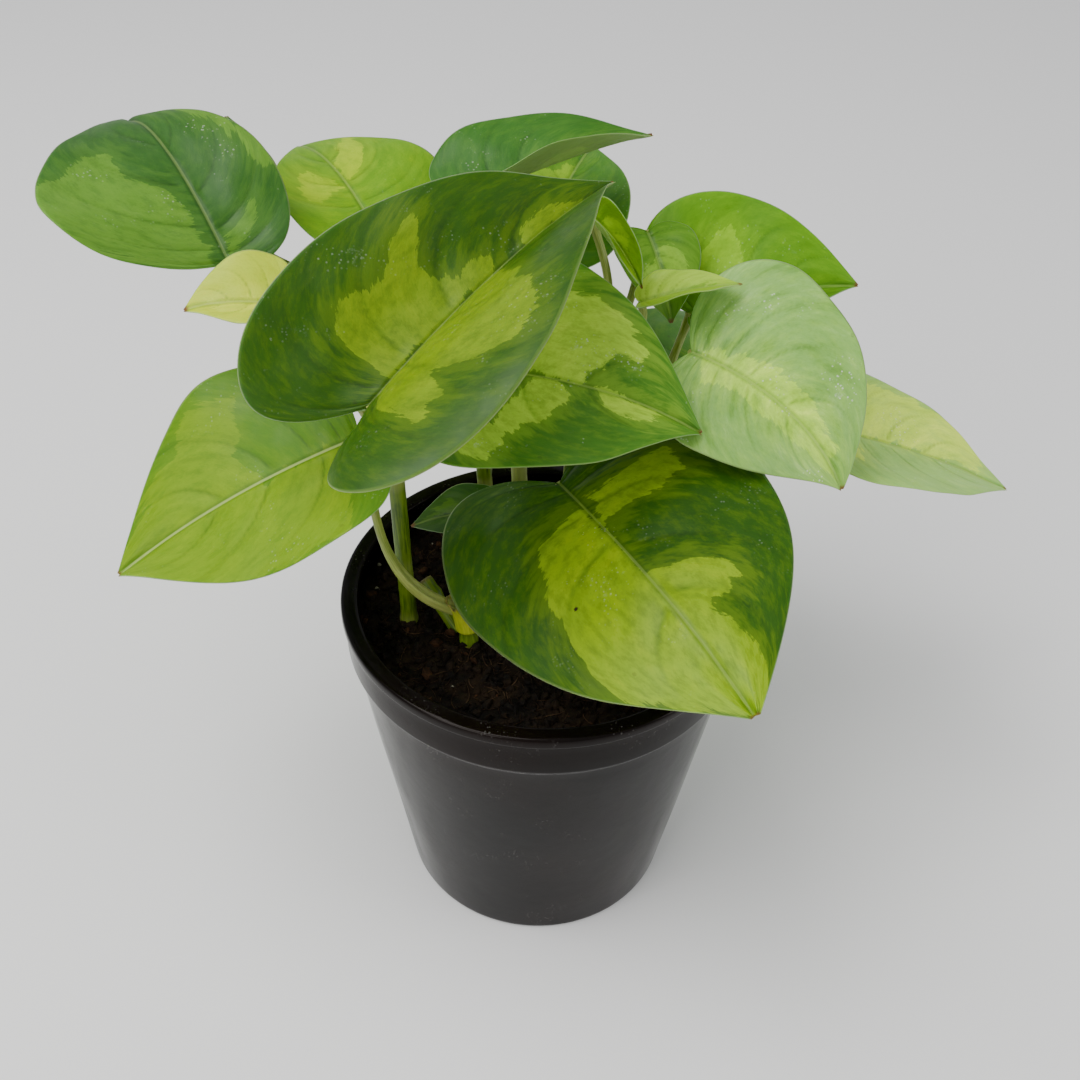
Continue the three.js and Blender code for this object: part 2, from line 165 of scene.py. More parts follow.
LEAVES = {
    "centre": leaf("left", 52, (-90, 55), (-39, -19, 79), 84, (34, 43), (0.85, 1), 0.45,
                   (48, 27, 5), (15, 10), (25, 60), (15, -65), 1),
    "low_front": leaf("middle", 12, (-60, 55), (3, 3, 41), 80, (43, 40), (0.6, 0.95), 0.05,
                      (-56, 0, 14), (13, 10), (-3, -15), (-6, -18), 1),
    "lower_left": leaf("front", 9, (185, 25), (-44, -7, 61), 70, (29, 30), (0.5, 0.2), 0.3,
                       (192, -20, -20), (20, 0), (12, 15), (0, 0), 1.5),
    "centre_right": leaf("middle", 40, (200, 55), (-26, 12, 68), 66, (36, 36), (0.7, 0.7), 0.45,
                         (-6, 5, 17), (28, 10), (15, 12), (6, 6), 1),
    "right_pale": leaf("right", 40, (-40, 55), (35, 28, 64), 54, (31, 25), (0.5, 0.5), 0.3,
                       (-26, -5, 25), (50, 10), (10, 0), (6, 6), 1),
    "far_right": leaf("right", 20, (20, 55), (76, 42, 31), 57, (24, 26), (0.7, 0.7), 0.3,
                      (0, -10, -5), (20, 0), (20, 5), (0, 0), 1),
    "upper_right": leaf("right", 48, (60, 55), (36, 51, 61), 46, (30, 9), (0.7, 0.3), 0.4,
                        (8, 20, 42), (25, 0), (5, 5), (6, 6), 1),
    "unfurling": leaf("right", 47, (190, 55), (22, 36, 73), 26, (9, 10), (0.4, 0.4), 0.45,
                      (3, 22, -5), (20, 0), (20, 20), (0, 0), 0.5),
    "top_centre": leaf("rear", 60, (100, 55), (-22, 54, 91), 52, (21, 22), (0.6, 0.6), 0.45,
                       (23, 18, -10), (15, 0), (30, 30), (0, 0), 1),
    "top_behind": leaf("rear_right", 50, (120, 55), (-4, 64, 72), 48, (22, 22), (0.7, 0.7), 0.45,
                       (72, 25, 0), (30, 0), (10, 10), (0, 0), 1),
    "curled": leaf("rear_right", 56, (0, 60), (9, 50, 89), 24, (9, 9), (0.4, 0.4), 0.45,
                   (-50, -10, 20), (40, 0), (50, 50), (40, 40), 0.5),
    "pale_right": leaf("rear_right", 44, (20, 55), (24, 59, 80), 26, (12, 12), (0.5, 0.5), 0.45,
                       (-70, -20, 0), (40, 0), (10, 10), (0, 0), 0.5),
    "upper_left": leaf("left", 48, (130, 55), (-76, 22, 89), 66, (37, 22), (0.1, 0.35), 0.7,
                       (126, 38, 0), (30, 60), (5, 5), (5, 5), 1),
    "upper_left_behind": leaf("rear", 50, (170, 55), (-76, 52, 78), 48, (20, 10), (0.4, 0.4),
                              0.45, (108, 33, 0), (30, 0), (5, 5), (0, 0), 1),
    "pale_young": leaf("left", 60, (90, 75), (-62, 9, 86), 23, (9, 13), (0.5, 0.5), 0.45,
                       (185, 12, -20), (30, 0), (20, 20), (0, 0), 0.5),
    "top_lime": leaf("rear", 64, (160, 55), (-46, 50, 85), 46, (20, 26), (0.6, 0.6), 0.45,
                     (122, 25, 0), (40, 10), (5, 5), (0, 0), 1),
    "small_shaded": leaf("middle", 6, (200, 55), (-13, 19, 18), 24, (12, 11), (0.6, 0.4), 0.45,
                         (186, 5, 0), (30, 0), (10, 10), (0, 0), 0.5),
    "back_left": leaf("rear", 36, (120, 55), (-40, 62, 46), 62, (27, 27), (0.7, 0.7), 0.45,
                      (125, 10, 0), (50, 0), (8, 8), (5, 5), 1),
    "back_right": leaf("rear_right", 30, (60, 55), (36, 66, 32), 58, (26, 26), (0.7, 0.7), 0.45,
                       (55, 5, 0), (50, 0), (8, 8), (5, 5), 1),
    "back_low": leaf("rear", 8, (95, 40), (-15, 52, 21), 50, (23, 23), (0.6, 0.6), 0.45,
                     (108, 8, 0), (30, 0), (8, 8), (5, 5), 1),
}


# ---------------------------------------------------------------- colours of each blade


def coat(green, lime, patches, spots=0.15, tones=0.4, rib=0.25, dead=0.25):
    """A blade's colours: its green, its lighter variegation, and the outlines of the lighter
    patches on the flattened blade as (share across, left side positive; share along). spots,
    tones, rib and dead are the strengths of the water marks, the tone changes, the pale midrib
    and the dead spots."""
    return dict(green=green, lime=lime, patches=patches, spots=spots, tones=tones, rib=rib,
                dead=dead)


BROAD_PATCH = [(0, 0.25), (0.3, 0.2), (0.55, 0.35), (0.45, 0.55), (0.2, 0.6), (0, 0.75)]
NARROW_PATCH = [(0, 0.4), (-0.3, 0.42), (-0.5, 0.5), (-0.35, 0.65), (0, 0.85)]

COATS = {
    "centre": coat("2a5003", "6f8c02", [
        [(0, 0.08), (0.2, 0.07), (0.42, 0.08), (0.58, 0.13), (0.6, 0.2), (0.48, 0.22),
         (0.55, 0.3), (0.66, 0.36), (0.66, 0.44), (0.5, 0.42), (0.4, 0.37), (0.2, 0.39),
         (0.2, 0.48), (0.1, 0.53), (0, 0.5)],
        [(0, 0.04), (-0.35, -0.03), (-0.68, -0.02), (-0.7, 0.06), (-0.55, 0.1), (-0.72, 0.16),
         (-0.8, 0.25), (-0.78, 0.36), (-0.6, 0.42), (-0.3, 0.46), (0, 0.52)],
        [(0, 0.62), (0.1, 0.64), (0.14, 0.76), (0, 0.86)],
    ]),
    "low_front": coat("295204", "86a602", [
        [(0, 0.12), (-0.2, 0.11), (-0.38, 0.13), (-0.45, 0.22), (-0.56, 0.3), (-0.55, 0.4),
         (-0.6, 0.5), (-0.62, 0.62), (-0.5, 0.76), (-0.3, 0.88), (0, 0.99), (0.15, 0.93),
         (0.21, 0.82), (0.19, 0.7), (0.14, 0.66), (0.28, 0.63), (0.4, 0.62), (0.4, 0.54),
         (0.25, 0.49), (0, 0.44)],
        [(0.05, 0.1), (0.4, 0.07), (0.62, 0.09), (0.64, 0.2), (0.4, 0.22), (0.05, 0.2)],
    ], dead=1.0),
    "lower_left": coat("4c7a02", "729402", [
        [(0, 0.05), (0.9, 0.1), (0.95, 0.5), (0.3, 0.9), (0, 1), (-0.3, 0.85), (-0.6, 0.6),
         (-0.85, 0.5), (-0.7, 0.35), (-0.3, 0.4), (0, 0.35)],
    ], rib=0.8),
    "centre_right": coat("477e1c", "b2da3c", [
        [(0, 0.3), (0.3, 0.3), (0.66, 0.36), (0.7, 0.5), (0.55, 0.6), (0.36, 0.7), (0.25, 0.72),
         (0.25, 0.62), (0.15, 0.58), (0.1, 0.52), (0, 0.5)],
        [(0, 0.32), (-0.3, 0.26), (-0.8, 0.14), (-0.86, 0.22), (-0.6, 0.3), (-0.4, 0.38),
         (-0.25, 0.47), (-0.1, 0.47), (0, 0.43)],
        [(0, 0.57), (-0.14, 0.62), (-0.15, 0.72), (-0.05, 0.83), (0, 0.85)],
    ], spots=0.5),
    "right_pale": coat("86b458", "bce450", [
        [(0, 0.05), (0.1, 0.1), (0.2, 0.3), (0.2, 0.55), (0.1, 0.8), (-0.05, 0.93),
         (-0.15, 0.75), (-0.25, 0.5), (-0.2, 0.3), (-0.28, 0.1)],
    ], spots=0.7, tones=0.7),
    "far_right": coat("98c464", "cee852", [
        [(0.04, 0.05), (0.3, 0.06), (0.75, 0.1), (0.85, 0.45), (0.6, 0.7), (0.3, 0.85),
         (0.05, 0.82)],
        [(-0.1, 0.03), (-0.5, 0), (-0.55, 0.1), (-0.35, 0.13), (-0.15, 0.1)],
    ], spots=0.5),
    "upper_right": coat("5a9004", "8cbc1c", [
        [(0.62, 0.33), (0.4, 0.36), (0.25, 0.33), (0.22, 0.15), (0.35, 0.1), (0.5, 0.2)],
    ]),
    "unfurling": coat("80ac04", "a6ca3a", [
        [(0, -0.2), (1, -0.2), (1, 0.6), (0, 1)],
    ], spots=0.05),
    "top_centre": coat("316418", "6a982a", [
        [(0, 0.3), (0.12, 0.36), (0.15, 0.6), (0.05, 0.78), (0, 0.8)],
        [(0, 0.4), (-0.3, 0.4), (-0.5, 0.5), (-0.3, 0.6), (0, 0.65)],
    ], spots=0.3),
    "top_behind": coat("3d7410", "80aa18", [BROAD_PATCH]),
    "curled": coat("6f9f04", "98c018", [BROAD_PATCH], spots=0.05),
    "pale_right": coat("4f8010", "86b430", [BROAD_PATCH, NARROW_PATCH], spots=0.2),
    "upper_left": coat("2e5a1c", "5c8828", [
        [(0.1, 0), (0.4, 0.05), (1, 0.2), (1, 0.42), (0.5, 0.56), (0.35, 0.56), (0.35, 0.42),
         (0.15, 0.35), (0.08, 0.15)],
        [(-0.05, 0.02), (-0.5, 0.12), (-0.55, 0.2), (-0.35, 0.14), (-0.1, 0.07)],
        [(-1, 0.3), (-0.8, 0.3), (-0.65, 0.5), (-0.3, 0.8), (-0.6, 0.75)],
    ], spots=0.3),
    "upper_left_behind": coat("30591a", "5c8826", [NARROW_PATCH]),
    "pale_young": coat("b6c81e", "ccd83c", [BROAD_PATCH], spots=0.05, tones=0.15),
    "top_lime": coat("649402", "9cba00", [
        [(0.02, 0.28), (0.5, 0.2), (0.6, 0.25), (0.55, 0.45), (0.35, 0.5), (0.1, 0.35)],
        [(-0.02, 0.3), (-0.2, 0.42), (-0.4, 0.62), (-0.36, 0.75), (-0.2, 0.7), (-0.08, 0.5)],
    ], spots=0.05),
    "small_shaded": coat("264f0e", "4a7016", [NARROW_PATCH]),
    "back_left": coat("3a6c10", "84a812", [BROAD_PATCH, NARROW_PATCH]),
    "back_right": coat("3e7212", "8aae16", [
        [(0, 0.1), (-0.5, 0.1), (-0.7, 0.3), (-0.4, 0.45), (0, 0.5)],
        [(0, 0.55), (0.25, 0.5), (0.35, 0.65), (0, 0.85)],
    ]),
    "back_low": coat("467a10", "84a812", [BROAD_PATCH]),
}

# ---------------------------------------------------------------- numbers as arrays


def smooth_noise(x, y, seed):
    """Random values from -1 to 1 on a square lattice, blended between lattice points with the
    curve 3t^2 - 2t^3 in each direction."""
    table = np.random.default_rng(seed).uniform(-1, 1, (64, 64))
    column, row = np.floor(x).astype(int), np.floor(y).astype(int)
    across, along = x - column, y - row
    across = across * across * (3 - 2 * across)
    along = along * along * (3 - 2 * along)

    def corner(i, j):
        return table[(column + i) % 64, (row + j) % 64]

    low = corner(0, 0) * (1 - across) + corner(1, 0) * across
    high = corner(0, 1) * (1 - across) + corner(1, 1) * across
    return low * (1 - along) + high * along


def layered_noise(x, y, seed, layers=4):
    """Smooth noise added up, each layer at twice the rate and half the height of the last."""
    total = 0
    for layer in range(layers):
        total = total + smooth_noise(x * 2**layer, y * 2**layer, seed + layer) / 2**layer
    return total


def ease(low, high, value):
    """0 below low, 1 above high, and the curve 3t^2 - 2t^3 between."""
    t = np.clip((value - low) / (high - low), 0, 1)
    return t * t * (3 - 2 * t)


def unit(vectors):
    """Vectors divided by their lengths."""
    return vectors / np.maximum(np.linalg.norm(vectors, axis=-1, keepdims=True), 1e-12)


def circle_angles(count):
    """Angles evenly spaced round a whole turn."""
    return 2 * math.pi * np.arange(count) / count


def patch_distance(outline, x, y):
    """Distance from each point to a closed outline, positive inside it: the least distance to
    any of its edges, with the sign from how often a ray along +x crosses it."""
    start = np.array(outline, float)
    end = np.roll(start, -1, axis=0)
    least = np.full(x.shape, np.inf)
    inside = np.zeros(x.shape, bool)
    for (ax, ay), (bx, by) in zip(start, end):
        dx, dy = bx - ax, by - ay
        t = np.clip(((x - ax) * dx + (y - ay) * dy) / (dx * dx + dy * dy + 1e-12), 0, 1)
        least = np.minimum(least, np.hypot(x - ax - t * dx, y - ay - t * dy))
        crosses = (ay > y) != (by > y)
        at = ax + (y - ay) * dx / (dy if abs(dy) > 1e-12 else 1e-12)
        inside ^= crosses & (x < at)
    return np.where(inside, least, -least)


# ---------------------------------------------------------------- meshes


def add_object(name, data):
    """A new object in the scene that shows the given data."""
    thing = bpy.data.objects.new(name, data)
    bpy.context.scene.collection.objects.link(thing)
    return thing


def add_piece(name, vertices, faces, material, nodes=(), smooth=True):
    """A mesh piece from millimetre vertices, riding on the one body."""
    mesh = bpy.data.meshes.new(name)
    mesh.from_pydata((vertices * MM).tolist(), [], faces)
    mesh.update()
    mesh.polygons.foreach_set("use_smooth", [smooth] * len(mesh.polygons))
    mesh.materials.append(material)
    piece = add_object(name, mesh)
    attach(piece, "root")
    if nodes:
        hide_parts(*nodes)
    return piece


def closed_tube(rings):
    """Vertices and faces of rings of points (ring, side, xyz) joined one to the next, with a
    middle point closing each end. Sides run anticlockwise seen from the last ring."""
    count, sides = rings.shape[:2]
    side = np.arange(sides)
    after = (side + 1) % sides
    ring = np.arange(count - 1)[:, None] * sides
    quads = np.stack([ring + side, ring + after, ring + sides + after, ring + sides + side], -1)
    first, last = count * sides, count * sides + 1
    top = (count - 1) * sides
    start_fan = np.stack([np.full(sides, first), after, side], -1)
    end_fan = np.stack([np.full(sides, last), top + side, top + after], -1)
    vertices = np.vstack([rings.reshape(-1, 3), rings[0].mean(0), rings[-1].mean(0)])
    faces = quads.reshape(-1, 4).tolist() + start_fan.tolist() + end_fan.tolist()
    return vertices, faces


def joined_tubes(tubes):
    """Vertices and faces of several closed tubes as one mesh."""
    vertices, faces, total = [], [], 0
    for rings in tubes:
        its_vertices, its_faces = closed_tube(rings)
        faces += [[i + total for i in face] for face in its_faces]
        vertices.append(its_vertices)
        total += len(its_vertices)
    return np.vstack(vertices), faces


def set_values(piece, name, vectors):
    """Stores one vector for each vertex."""
    attribute = piece.data.attributes.new(name, "FLOAT_VECTOR", "POINT")
    attribute.data.foreach_set("vector", np.asarray(vectors, np.float32).ravel())


def tube_values(*grids):
    """Vectors for a closed tube's points, from one grid (ring, side) for each part of the
    vector. The middle point of each end gets the mean of its ring."""
    parts = [np.concatenate([grid.ravel(), [grid[0].mean(), grid[-1].mean()]]) for grid in grids]
    return np.stack(parts, -1)


def swept(path, radius, sides, reference):
    """Rings round a path: at each point a circle square to the path, of that point's radius
    (a number for each ring, or for each ring and side). Returns the rings, and each side's
    angle from the reference direction."""
    ahead = unit(np.gradient(path, axis=0))
    across = unit(reference - ahead * (ahead @ reference)[:, None])
    beside = np.cross(ahead, across)
    angle = circle_angles(sides)
    radius = np.broadcast_to(np.asarray(radius).reshape(len(path), -1), (len(path), sides))
    rings = path[:, None] + radius[..., None] * (
        np.cos(angle)[:, None] * across[:, None] + np.sin(angle)[:, None] * beside[:, None])
    return rings, angle


# ---------------------------------------------------------------- shader groups


def colour_of(code):
    """A six-digit sRGB code as linear red, green, blue and alpha, by the standard sRGB curve."""
    parts = [int(code[i:i + 2], 16) / 255 for i in (0, 2, 4)]
    return tuple(p / 12.92 if p <= 0.04045 else ((p + 0.055) / 1.055) ** 2.4 for p in parts) + (1,)


def feed(tree, socket, value):
    """Links a node's output to the socket, or sets the socket to a plain value."""
    if isinstance(value, bpy.types.NodeSocket):
        tree.links.new(value, socket)
    else:
        socket.default_value = value


class Sheet:
    """A node tree being filled: add() makes a node and sets its inputs, from sockets or values."""

    def __init__(self, tree):
        self.tree = tree

    def fill(self, node, **inputs):
        """Feeds a node's inputs by name, with _ for a space."""
        for key, value in inputs.items():
            feed(self.tree, node.inputs[key.replace("_", " ")], value)

    def add(self, kind, output=0, settings=None, **inputs):
        """A new node's output, with its settings and inputs filled in."""
        node = self.tree.nodes.new(kind)
        for key, value in (settings or {}).items():
            setattr(node, key, value)
        self.fill(node, **inputs)
        return node.outputs[output]

    def math(self, operation, a, b=0.0, clamp=False):
        """One number worked out from two by a named operation."""
        node = self.tree.nodes.new("ShaderNodeMath")
        node.operation, node.use_clamp = operation, clamp
        feed(self.tree, node.inputs[0], a)
        feed(self.tree, node.inputs[1], b)
        return node.outputs[0]

    def fade(self, value, low, high, start=0.0, end=1.0):
        """start at the value low, end at the value high, and the curve 3t^2 - 2t^3 between."""
        return self.add("ShaderNodeMapRange", settings={"interpolation_type": "SMOOTHSTEP"},
                        Value=value, From_Min=low, From_Max=high, To_Min=start, To_Max=end)

    def mix(self, share, a, b, blend="MIX"):
        """Two colours mixed by the share of the second. 0, 6 and 7 are the colour sockets."""
        node = self.tree.nodes.new("ShaderNodeMix")
        node.data_type = "RGBA"
        node.blend_type = blend
        for at, value in ((0, share), (6, a), (7, b)):
            feed(self.tree, node.inputs[at], value)
        return node.outputs[2]

    def multiply(self, colour, tint):
        """A colour times a tint, channel by channel."""
        return self.mix(1.0, colour, tint, "MULTIPLY")

    def noise(self, vector, scale, detail=2.0, roughness=0.5):
        """Layered noise, about 0 to 1 with its middle near 0.5."""
        return self.add("ShaderNodeTexNoise", Vector=vector, Scale=scale, Detail=detail,
                        Roughness=roughness)

    def stretch(self, vector, scale):
        """A vector times a scale, so that a pattern on it is drawn out where the scale is small."""
        return self.add("ShaderNodeMapping", Vector=vector, Scale=scale)

    def split(self, vector):
        """A vector's three parts."""
        node = self.tree.nodes.new("ShaderNodeSeparateXYZ")
        self.tree.links.new(vector, node.inputs[0])
        return node.outputs

    def values(self, name):
        """The vectors that set_values stored on the piece."""
        return self.add("ShaderNodeAttribute", "Vector", {"attribute_name": name})

    def place(self):
        """Where the surface is, in metres."""
        return self.add("ShaderNodeTexCoord", "Object")


def make_group(name, inputs, outputs, build):
    """A shader node group. inputs and outputs list (name, kind); build(sheet, sockets in) gives
    the sockets out, in order."""
    tree = bpy.data.node_groups.new(name, "ShaderNodeTree")
    kinds = {"colour": "NodeSocketColor", "number": "NodeSocketFloat", "vector": "NodeSocketVector"}
    for label, kind in inputs:
        tree.interface.new_socket(label, in_out="INPUT", socket_type=kinds[kind])
    for label, kind in outputs:
        tree.interface.new_socket(label, in_out="OUTPUT", socket_type=kinds[kind])
    entry = tree.nodes.new("NodeGroupInput")
    leave = tree.nodes.new("NodeGroupOutput")
    sheet = Sheet(tree)
    for at, socket in enumerate(build(sheet, {s.name: s for s in entry.outputs if s.name})):
        tree.links.new(socket, leave.inputs[at])
    return tree


def use_group(sheet, tree, **inputs):
    """Places a group in a material and gives its outputs by name."""
    node = sheet.tree.nodes.new("ShaderNodeGroup")
    node.node_tree = tree
    sheet.fill(node, **inputs)
    return {s.name: s for s in node.outputs}


def build_variegation(sheet, given):
    """Lime where the patch distance, made ragged by noise drawn out along the side veins, is
    positive, with a broken zone of middle green round it. Cloudy mottling crosses both, and
    soft streaks and a fine grain vary the tone."""
    ragged = sheet.noise(sheet.stretch(given["Flow"], (1.0, 0.22, 1.0)), 1.1, 4.0, 0.65)
    offset = sheet.math("MULTIPLY", sheet.math("SUBTRACT", ragged, 0.5), 5.0)
    lime = sheet.fade(sheet.math("ADD", given["Patch"], offset), -0.3, 0.3)
    halo_edge = sheet.noise(sheet.stretch(given["Flow"], (0.5, 0.12, 1.0)), 1.0, 3.0, 0.6)
    halo_offset = sheet.math("MULTIPLY", sheet.math("SUBTRACT", halo_edge, 0.34), 22.0)
    halo = sheet.fade(sheet.math("ADD", given["Patch"], halo_offset), -3.0, 3.0, 0.0, 0.28)
    clouds = sheet.noise(sheet.stretch(given["Flow"], (0.5, 0.4, 1.0)), 0.8, 5.0, 0.66)
    mottled = sheet.fade(clouds, 0.42, 0.68, 0.0, 0.34)
    share = sheet.math("MAXIMUM", sheet.math("MULTIPLY", lime, sheet.math("SUBTRACT", 1.0, mottled)),
                       sheet.math("MAXIMUM", halo, sheet.math("MULTIPLY", mottled, 0.45)))
    base = sheet.mix(share, given["Green"], given["Lime"])
    streaks = sheet.noise(sheet.stretch(given["Flow"], (0.24, 0.08, 1.0)), 1.0, 4.0, 0.65)
    grain = sheet.noise(sheet.stretch(given["Flow"], (3.0, 1.4, 1.0)), 1.0, 2.0)
    deep = sheet.multiply(base, (0.5, 0.62, 0.35, 1))
    light = sheet.multiply(base, (1.45, 1.25, 1.7, 1))
    darker = sheet.math("MULTIPLY", sheet.fade(streaks, 0.52, 0.3), given["Tones"])
    lighter = sheet.math("MULTIPLY", sheet.fade(streaks, 0.5, 0.7), given["Tones"])
    toned = sheet.mix(darker, sheet.mix(lighter, base, light), deep)
    return (sheet.mix(sheet.fade(grain, 0.45, 0.7, 0.0, 0.22), toned,
                      sheet.multiply(toned, (0.55, 0.66, 0.4, 1))),)


def build_blade_lines(sheet, given):
    """Painted shade: a darker colour in the creases on each side of the midrib and along the sunk side
    veins. Also a pale line on the midrib, a thin painted sheen along the margin, a dry brown tip and a
    paler underside."""
    # Painted shade: the colour is darkened in the creases by the midrib and along the sunk side veins.
    dark = sheet.multiply(given["Colour"], (0.32, 0.46, 0.2, 1))
    midrib_crease_shade = sheet.fade(given["Midrib distance"], 1.5, 0.3, 0.0, 0.55)
    vein = sheet.math("MULTIPLY", given["Side vein"], 0.7)
    crease_shaded = sheet.mix(sheet.math("MAXIMUM", midrib_crease_shade, vein), given["Colour"], dark)
    line = sheet.math("MULTIPLY", sheet.fade(given["Midrib distance"], 0.5, 0.2), given["Rib strength"])
    ribbed = sheet.mix(line, crease_shaded, given["Rib colour"])
    # Painted sheen: a pale grey-green line along the margin, a reflection painted into the colour.
    rim = sheet.fade(given["Margin distance"], 0.34, 0.06, 0.0, 0.55)
    sheen_edged = sheet.mix(rim, ribbed, (0.33, 0.46, 0.25, 1))
    dry = sheet.fade(given["Tip distance"], 2.2, 1.0)
    tipped = sheet.mix(dry, sheen_edged, (0.16, 0.07, 0.02, 1))
    pale = sheet.mix(0.5, tipped, (0.32, 0.45, 0.13, 1))
    return (sheet.mix(given["Underside"], tipped, pale),)


def build_dead_spots(sheet, given):
    """A few small brown-black spots: cell cores of a coarse pattern where a slow noise is high."""
    cells = sheet.add("ShaderNodeTexVoronoi", 0, Vector=given["Place"], Scale=85.0, Randomness=1.0)
    shape = sheet.noise(given["Place"], 1100.0, 2.0)
    core = sheet.fade(sheet.math("ADD", cells, sheet.math("MULTIPLY", shape, 0.09)), 0.105, 0.075)
    where = sheet.fade(sheet.noise(given["Place"], 40.0, 1.0), 0.5, 0.56)
    return (sheet.math("MULTIPLY", sheet.math("MULTIPLY", core, where), given["Amount"], clamp=True),)


def build_water_marks(sheet, given):
    """Small chalky specks left by dried drops: the cores of a cell pattern, only in places."""
    cells = sheet.add("ShaderNodeTexVoronoi", 0, Vector=given["Place"], Scale=900.0, Randomness=1.0)
    wide = sheet.noise(given["Place"], 90.0, 3.0)
    small = sheet.noise(given["Place"], 1500.0, 2.0)
    core = sheet.fade(sheet.math("ADD", cells, sheet.math("MULTIPLY", small, 0.3)), 0.42, 0.28)
    where = sheet.fade(wide, 0.53, 0.72)
    rings = sheet.fade(sheet.noise(given["Place"], 260.0, 5.0, 0.75), 0.6, 0.72, 0.0, 0.6)
    marks = sheet.math("MULTIPLY", sheet.math("MAXIMUM", core, rings), where)
    return (sheet.math("MULTIPLY", marks, given["Amount"], clamp=True),)


def build_fibres(sheet, given):
    """Fine streaks along a stem: noise drawn out along its length."""
    long = sheet.noise(sheet.stretch(given["Flow"], (2.2, 0.12, 2.2)), 1.0, 3.0, 0.6)
    blotch = sheet.noise(given["Flow"], 0.18, 2.0)
    shade = sheet.mix(sheet.fade(long, 0.35, 0.7), given["Dark"], given["Light"])
    return sheet.mix(sheet.fade(blotch, 0.45, 0.65, 0.0, 0.5), shade, given["Light"]), long


VARIEGATION = make_group(
    "variegation",
    [("Green", "colour"), ("Lime", "colour"), ("Patch", "number"), ("Flow", "vector"),
     ("Tones", "number")],
    [("Colour", "colour")], build_variegation)
BLADE_LINES = make_group(
    "blade lines",
    [("Colour", "colour"), ("Rib colour", "colour"), ("Rib strength", "number"),
     ("Midrib distance", "number"), ("Side vein", "number"), ("Margin distance", "number"),
     ("Tip distance", "number"), ("Underside", "number")],
    [("Colour", "colour")], build_blade_lines)
WATER_MARKS = make_group(
    "water marks", [("Place", "vector"), ("Amount", "number")], [("Marks", "number")],
    build_water_marks)
DEAD_SPOTS = make_group(
    "dead spots", [("Place", "vector"), ("Amount", "number")], [("Spots", "number")],
    build_dead_spots)
FIBRES = make_group(
    "stem fibres", [("Flow", "vector"), ("Dark", "colour"), ("Light", "colour")],
    [("Colour", "colour"), ("Streaks", "number")], build_fibres)

# ---------------------------------------------------------------- materials


def new_material(name):
    """An empty material with one Principled shader, and the sheet to fill."""
    material = bpy.data.materials.new(name)
    material.use_nodes = True
    shader = material.node_tree.nodes["Principled BSDF"]
    return material, Sheet(material.node_tree), shader


def blade_skin(name, look):
    """Waxy leaf: variegated colour, soft gloss, a fine cellular grain and dried water marks."""
    material, sheet, shader = new_material(name)
    marks = sheet.split(sheet.values("leaf_marks"))
    lines = sheet.split(sheet.values("leaf_lines"))
    flow = sheet.values("leaf_flow")
    green, lime = colour_of(look["green"]), colour_of(look["lime"])
    body = use_group(sheet, VARIEGATION, Green=green, Lime=lime, Patch=marks[0], Flow=flow,
                     Tones=look["tones"])
    rib = tuple(0.45 * a + 0.55 * b for a, b in zip(lime, (0.5, 0.62, 0.22, 1)))
    lined = use_group(sheet, BLADE_LINES, Colour=body["Colour"], Rib_colour=rib,
                      Rib_strength=look["rib"], Midrib_distance=lines[0], Side_vein=lines[1],
                      Underside=lines[2], Margin_distance=marks[1], Tip_distance=marks[2])
    place = sheet.place()
    chalk = use_group(sheet, WATER_MARKS, Place=place, Amount=look["spots"])["Marks"]
    upper_chalk = sheet.math("MULTIPLY", chalk, sheet.math("SUBTRACT", 1.0, lines[2]))
    spots = use_group(sheet, DEAD_SPOTS, Place=place, Amount=look["dead"])["Spots"]
    spotted = sheet.mix(spots, lined["Colour"], (0.02, 0.012, 0.004, 1))
    chalky = sheet.mix(upper_chalk, spotted, (0.72, 0.76, 0.66, 1))
    cells = sheet.noise(place, 2600.0, 2.0)
    wax = sheet.noise(place, 140.0, 3.0)
    upper = sheet.fade(wax, 0.3, 0.7, 0.34, 0.5)
    gloss = sheet.math("ADD", sheet.math("ADD", upper, sheet.math("MULTIPLY", lines[2], 0.2)),
                       sheet.math("MULTIPLY", upper_chalk, 0.25))
    grain = sheet.math("ADD", sheet.math("MULTIPLY", cells, 0.5),
                       sheet.noise(sheet.stretch(flow, (1.6, 0.25, 1.0)), 1.0, 3.0))
    bump = sheet.add("ShaderNodeBump", Strength=0.25, Distance=0.00012, Height=grain)
    sheet.fill(shader, Base_Color=chalky, Roughness=gloss, Normal=bump, Specular_IOR_Level=0.2,
               Subsurface_Weight=0.2, Subsurface_Radius=(0.5, 1.0, 0.12), Subsurface_Scale=0.0012)
    return material


def stem_skin(name, dark, light, roughness):
    """Green stem or stalk with fine lengthwise streaks."""
    material, sheet, shader = new_material(name)
    flow = sheet.values("stem_flow")
    extra = sheet.split(sheet.values("stem_marks"))
    body = use_group(sheet, FIBRES, Flow=flow, Dark=colour_of(dark), Light=colour_of(light))
    scar = sheet.mix(sheet.math("MULTIPLY", extra[0], 0.75), body["Colour"], (0.20, 0.13, 0.05, 1))
    bright = sheet.mix(extra[1], scar, (0.50, 0.52, 0.16, 1))
    gloss = sheet.fade(body["Streaks"], 0.3, 0.7, roughness - 0.06, roughness + 0.1)
    bump = sheet.add("ShaderNodeBump", Strength=0.35, Distance=0.00015, Height=body["Streaks"])
    sheet.fill(shader, Base_Color=bright, Roughness=gloss, Normal=bump, IOR=1.42,
               Subsurface_Weight=0.15, Subsurface_Radius=(0.6, 1.0, 0.2), Subsurface_Scale=0.001)
    return material


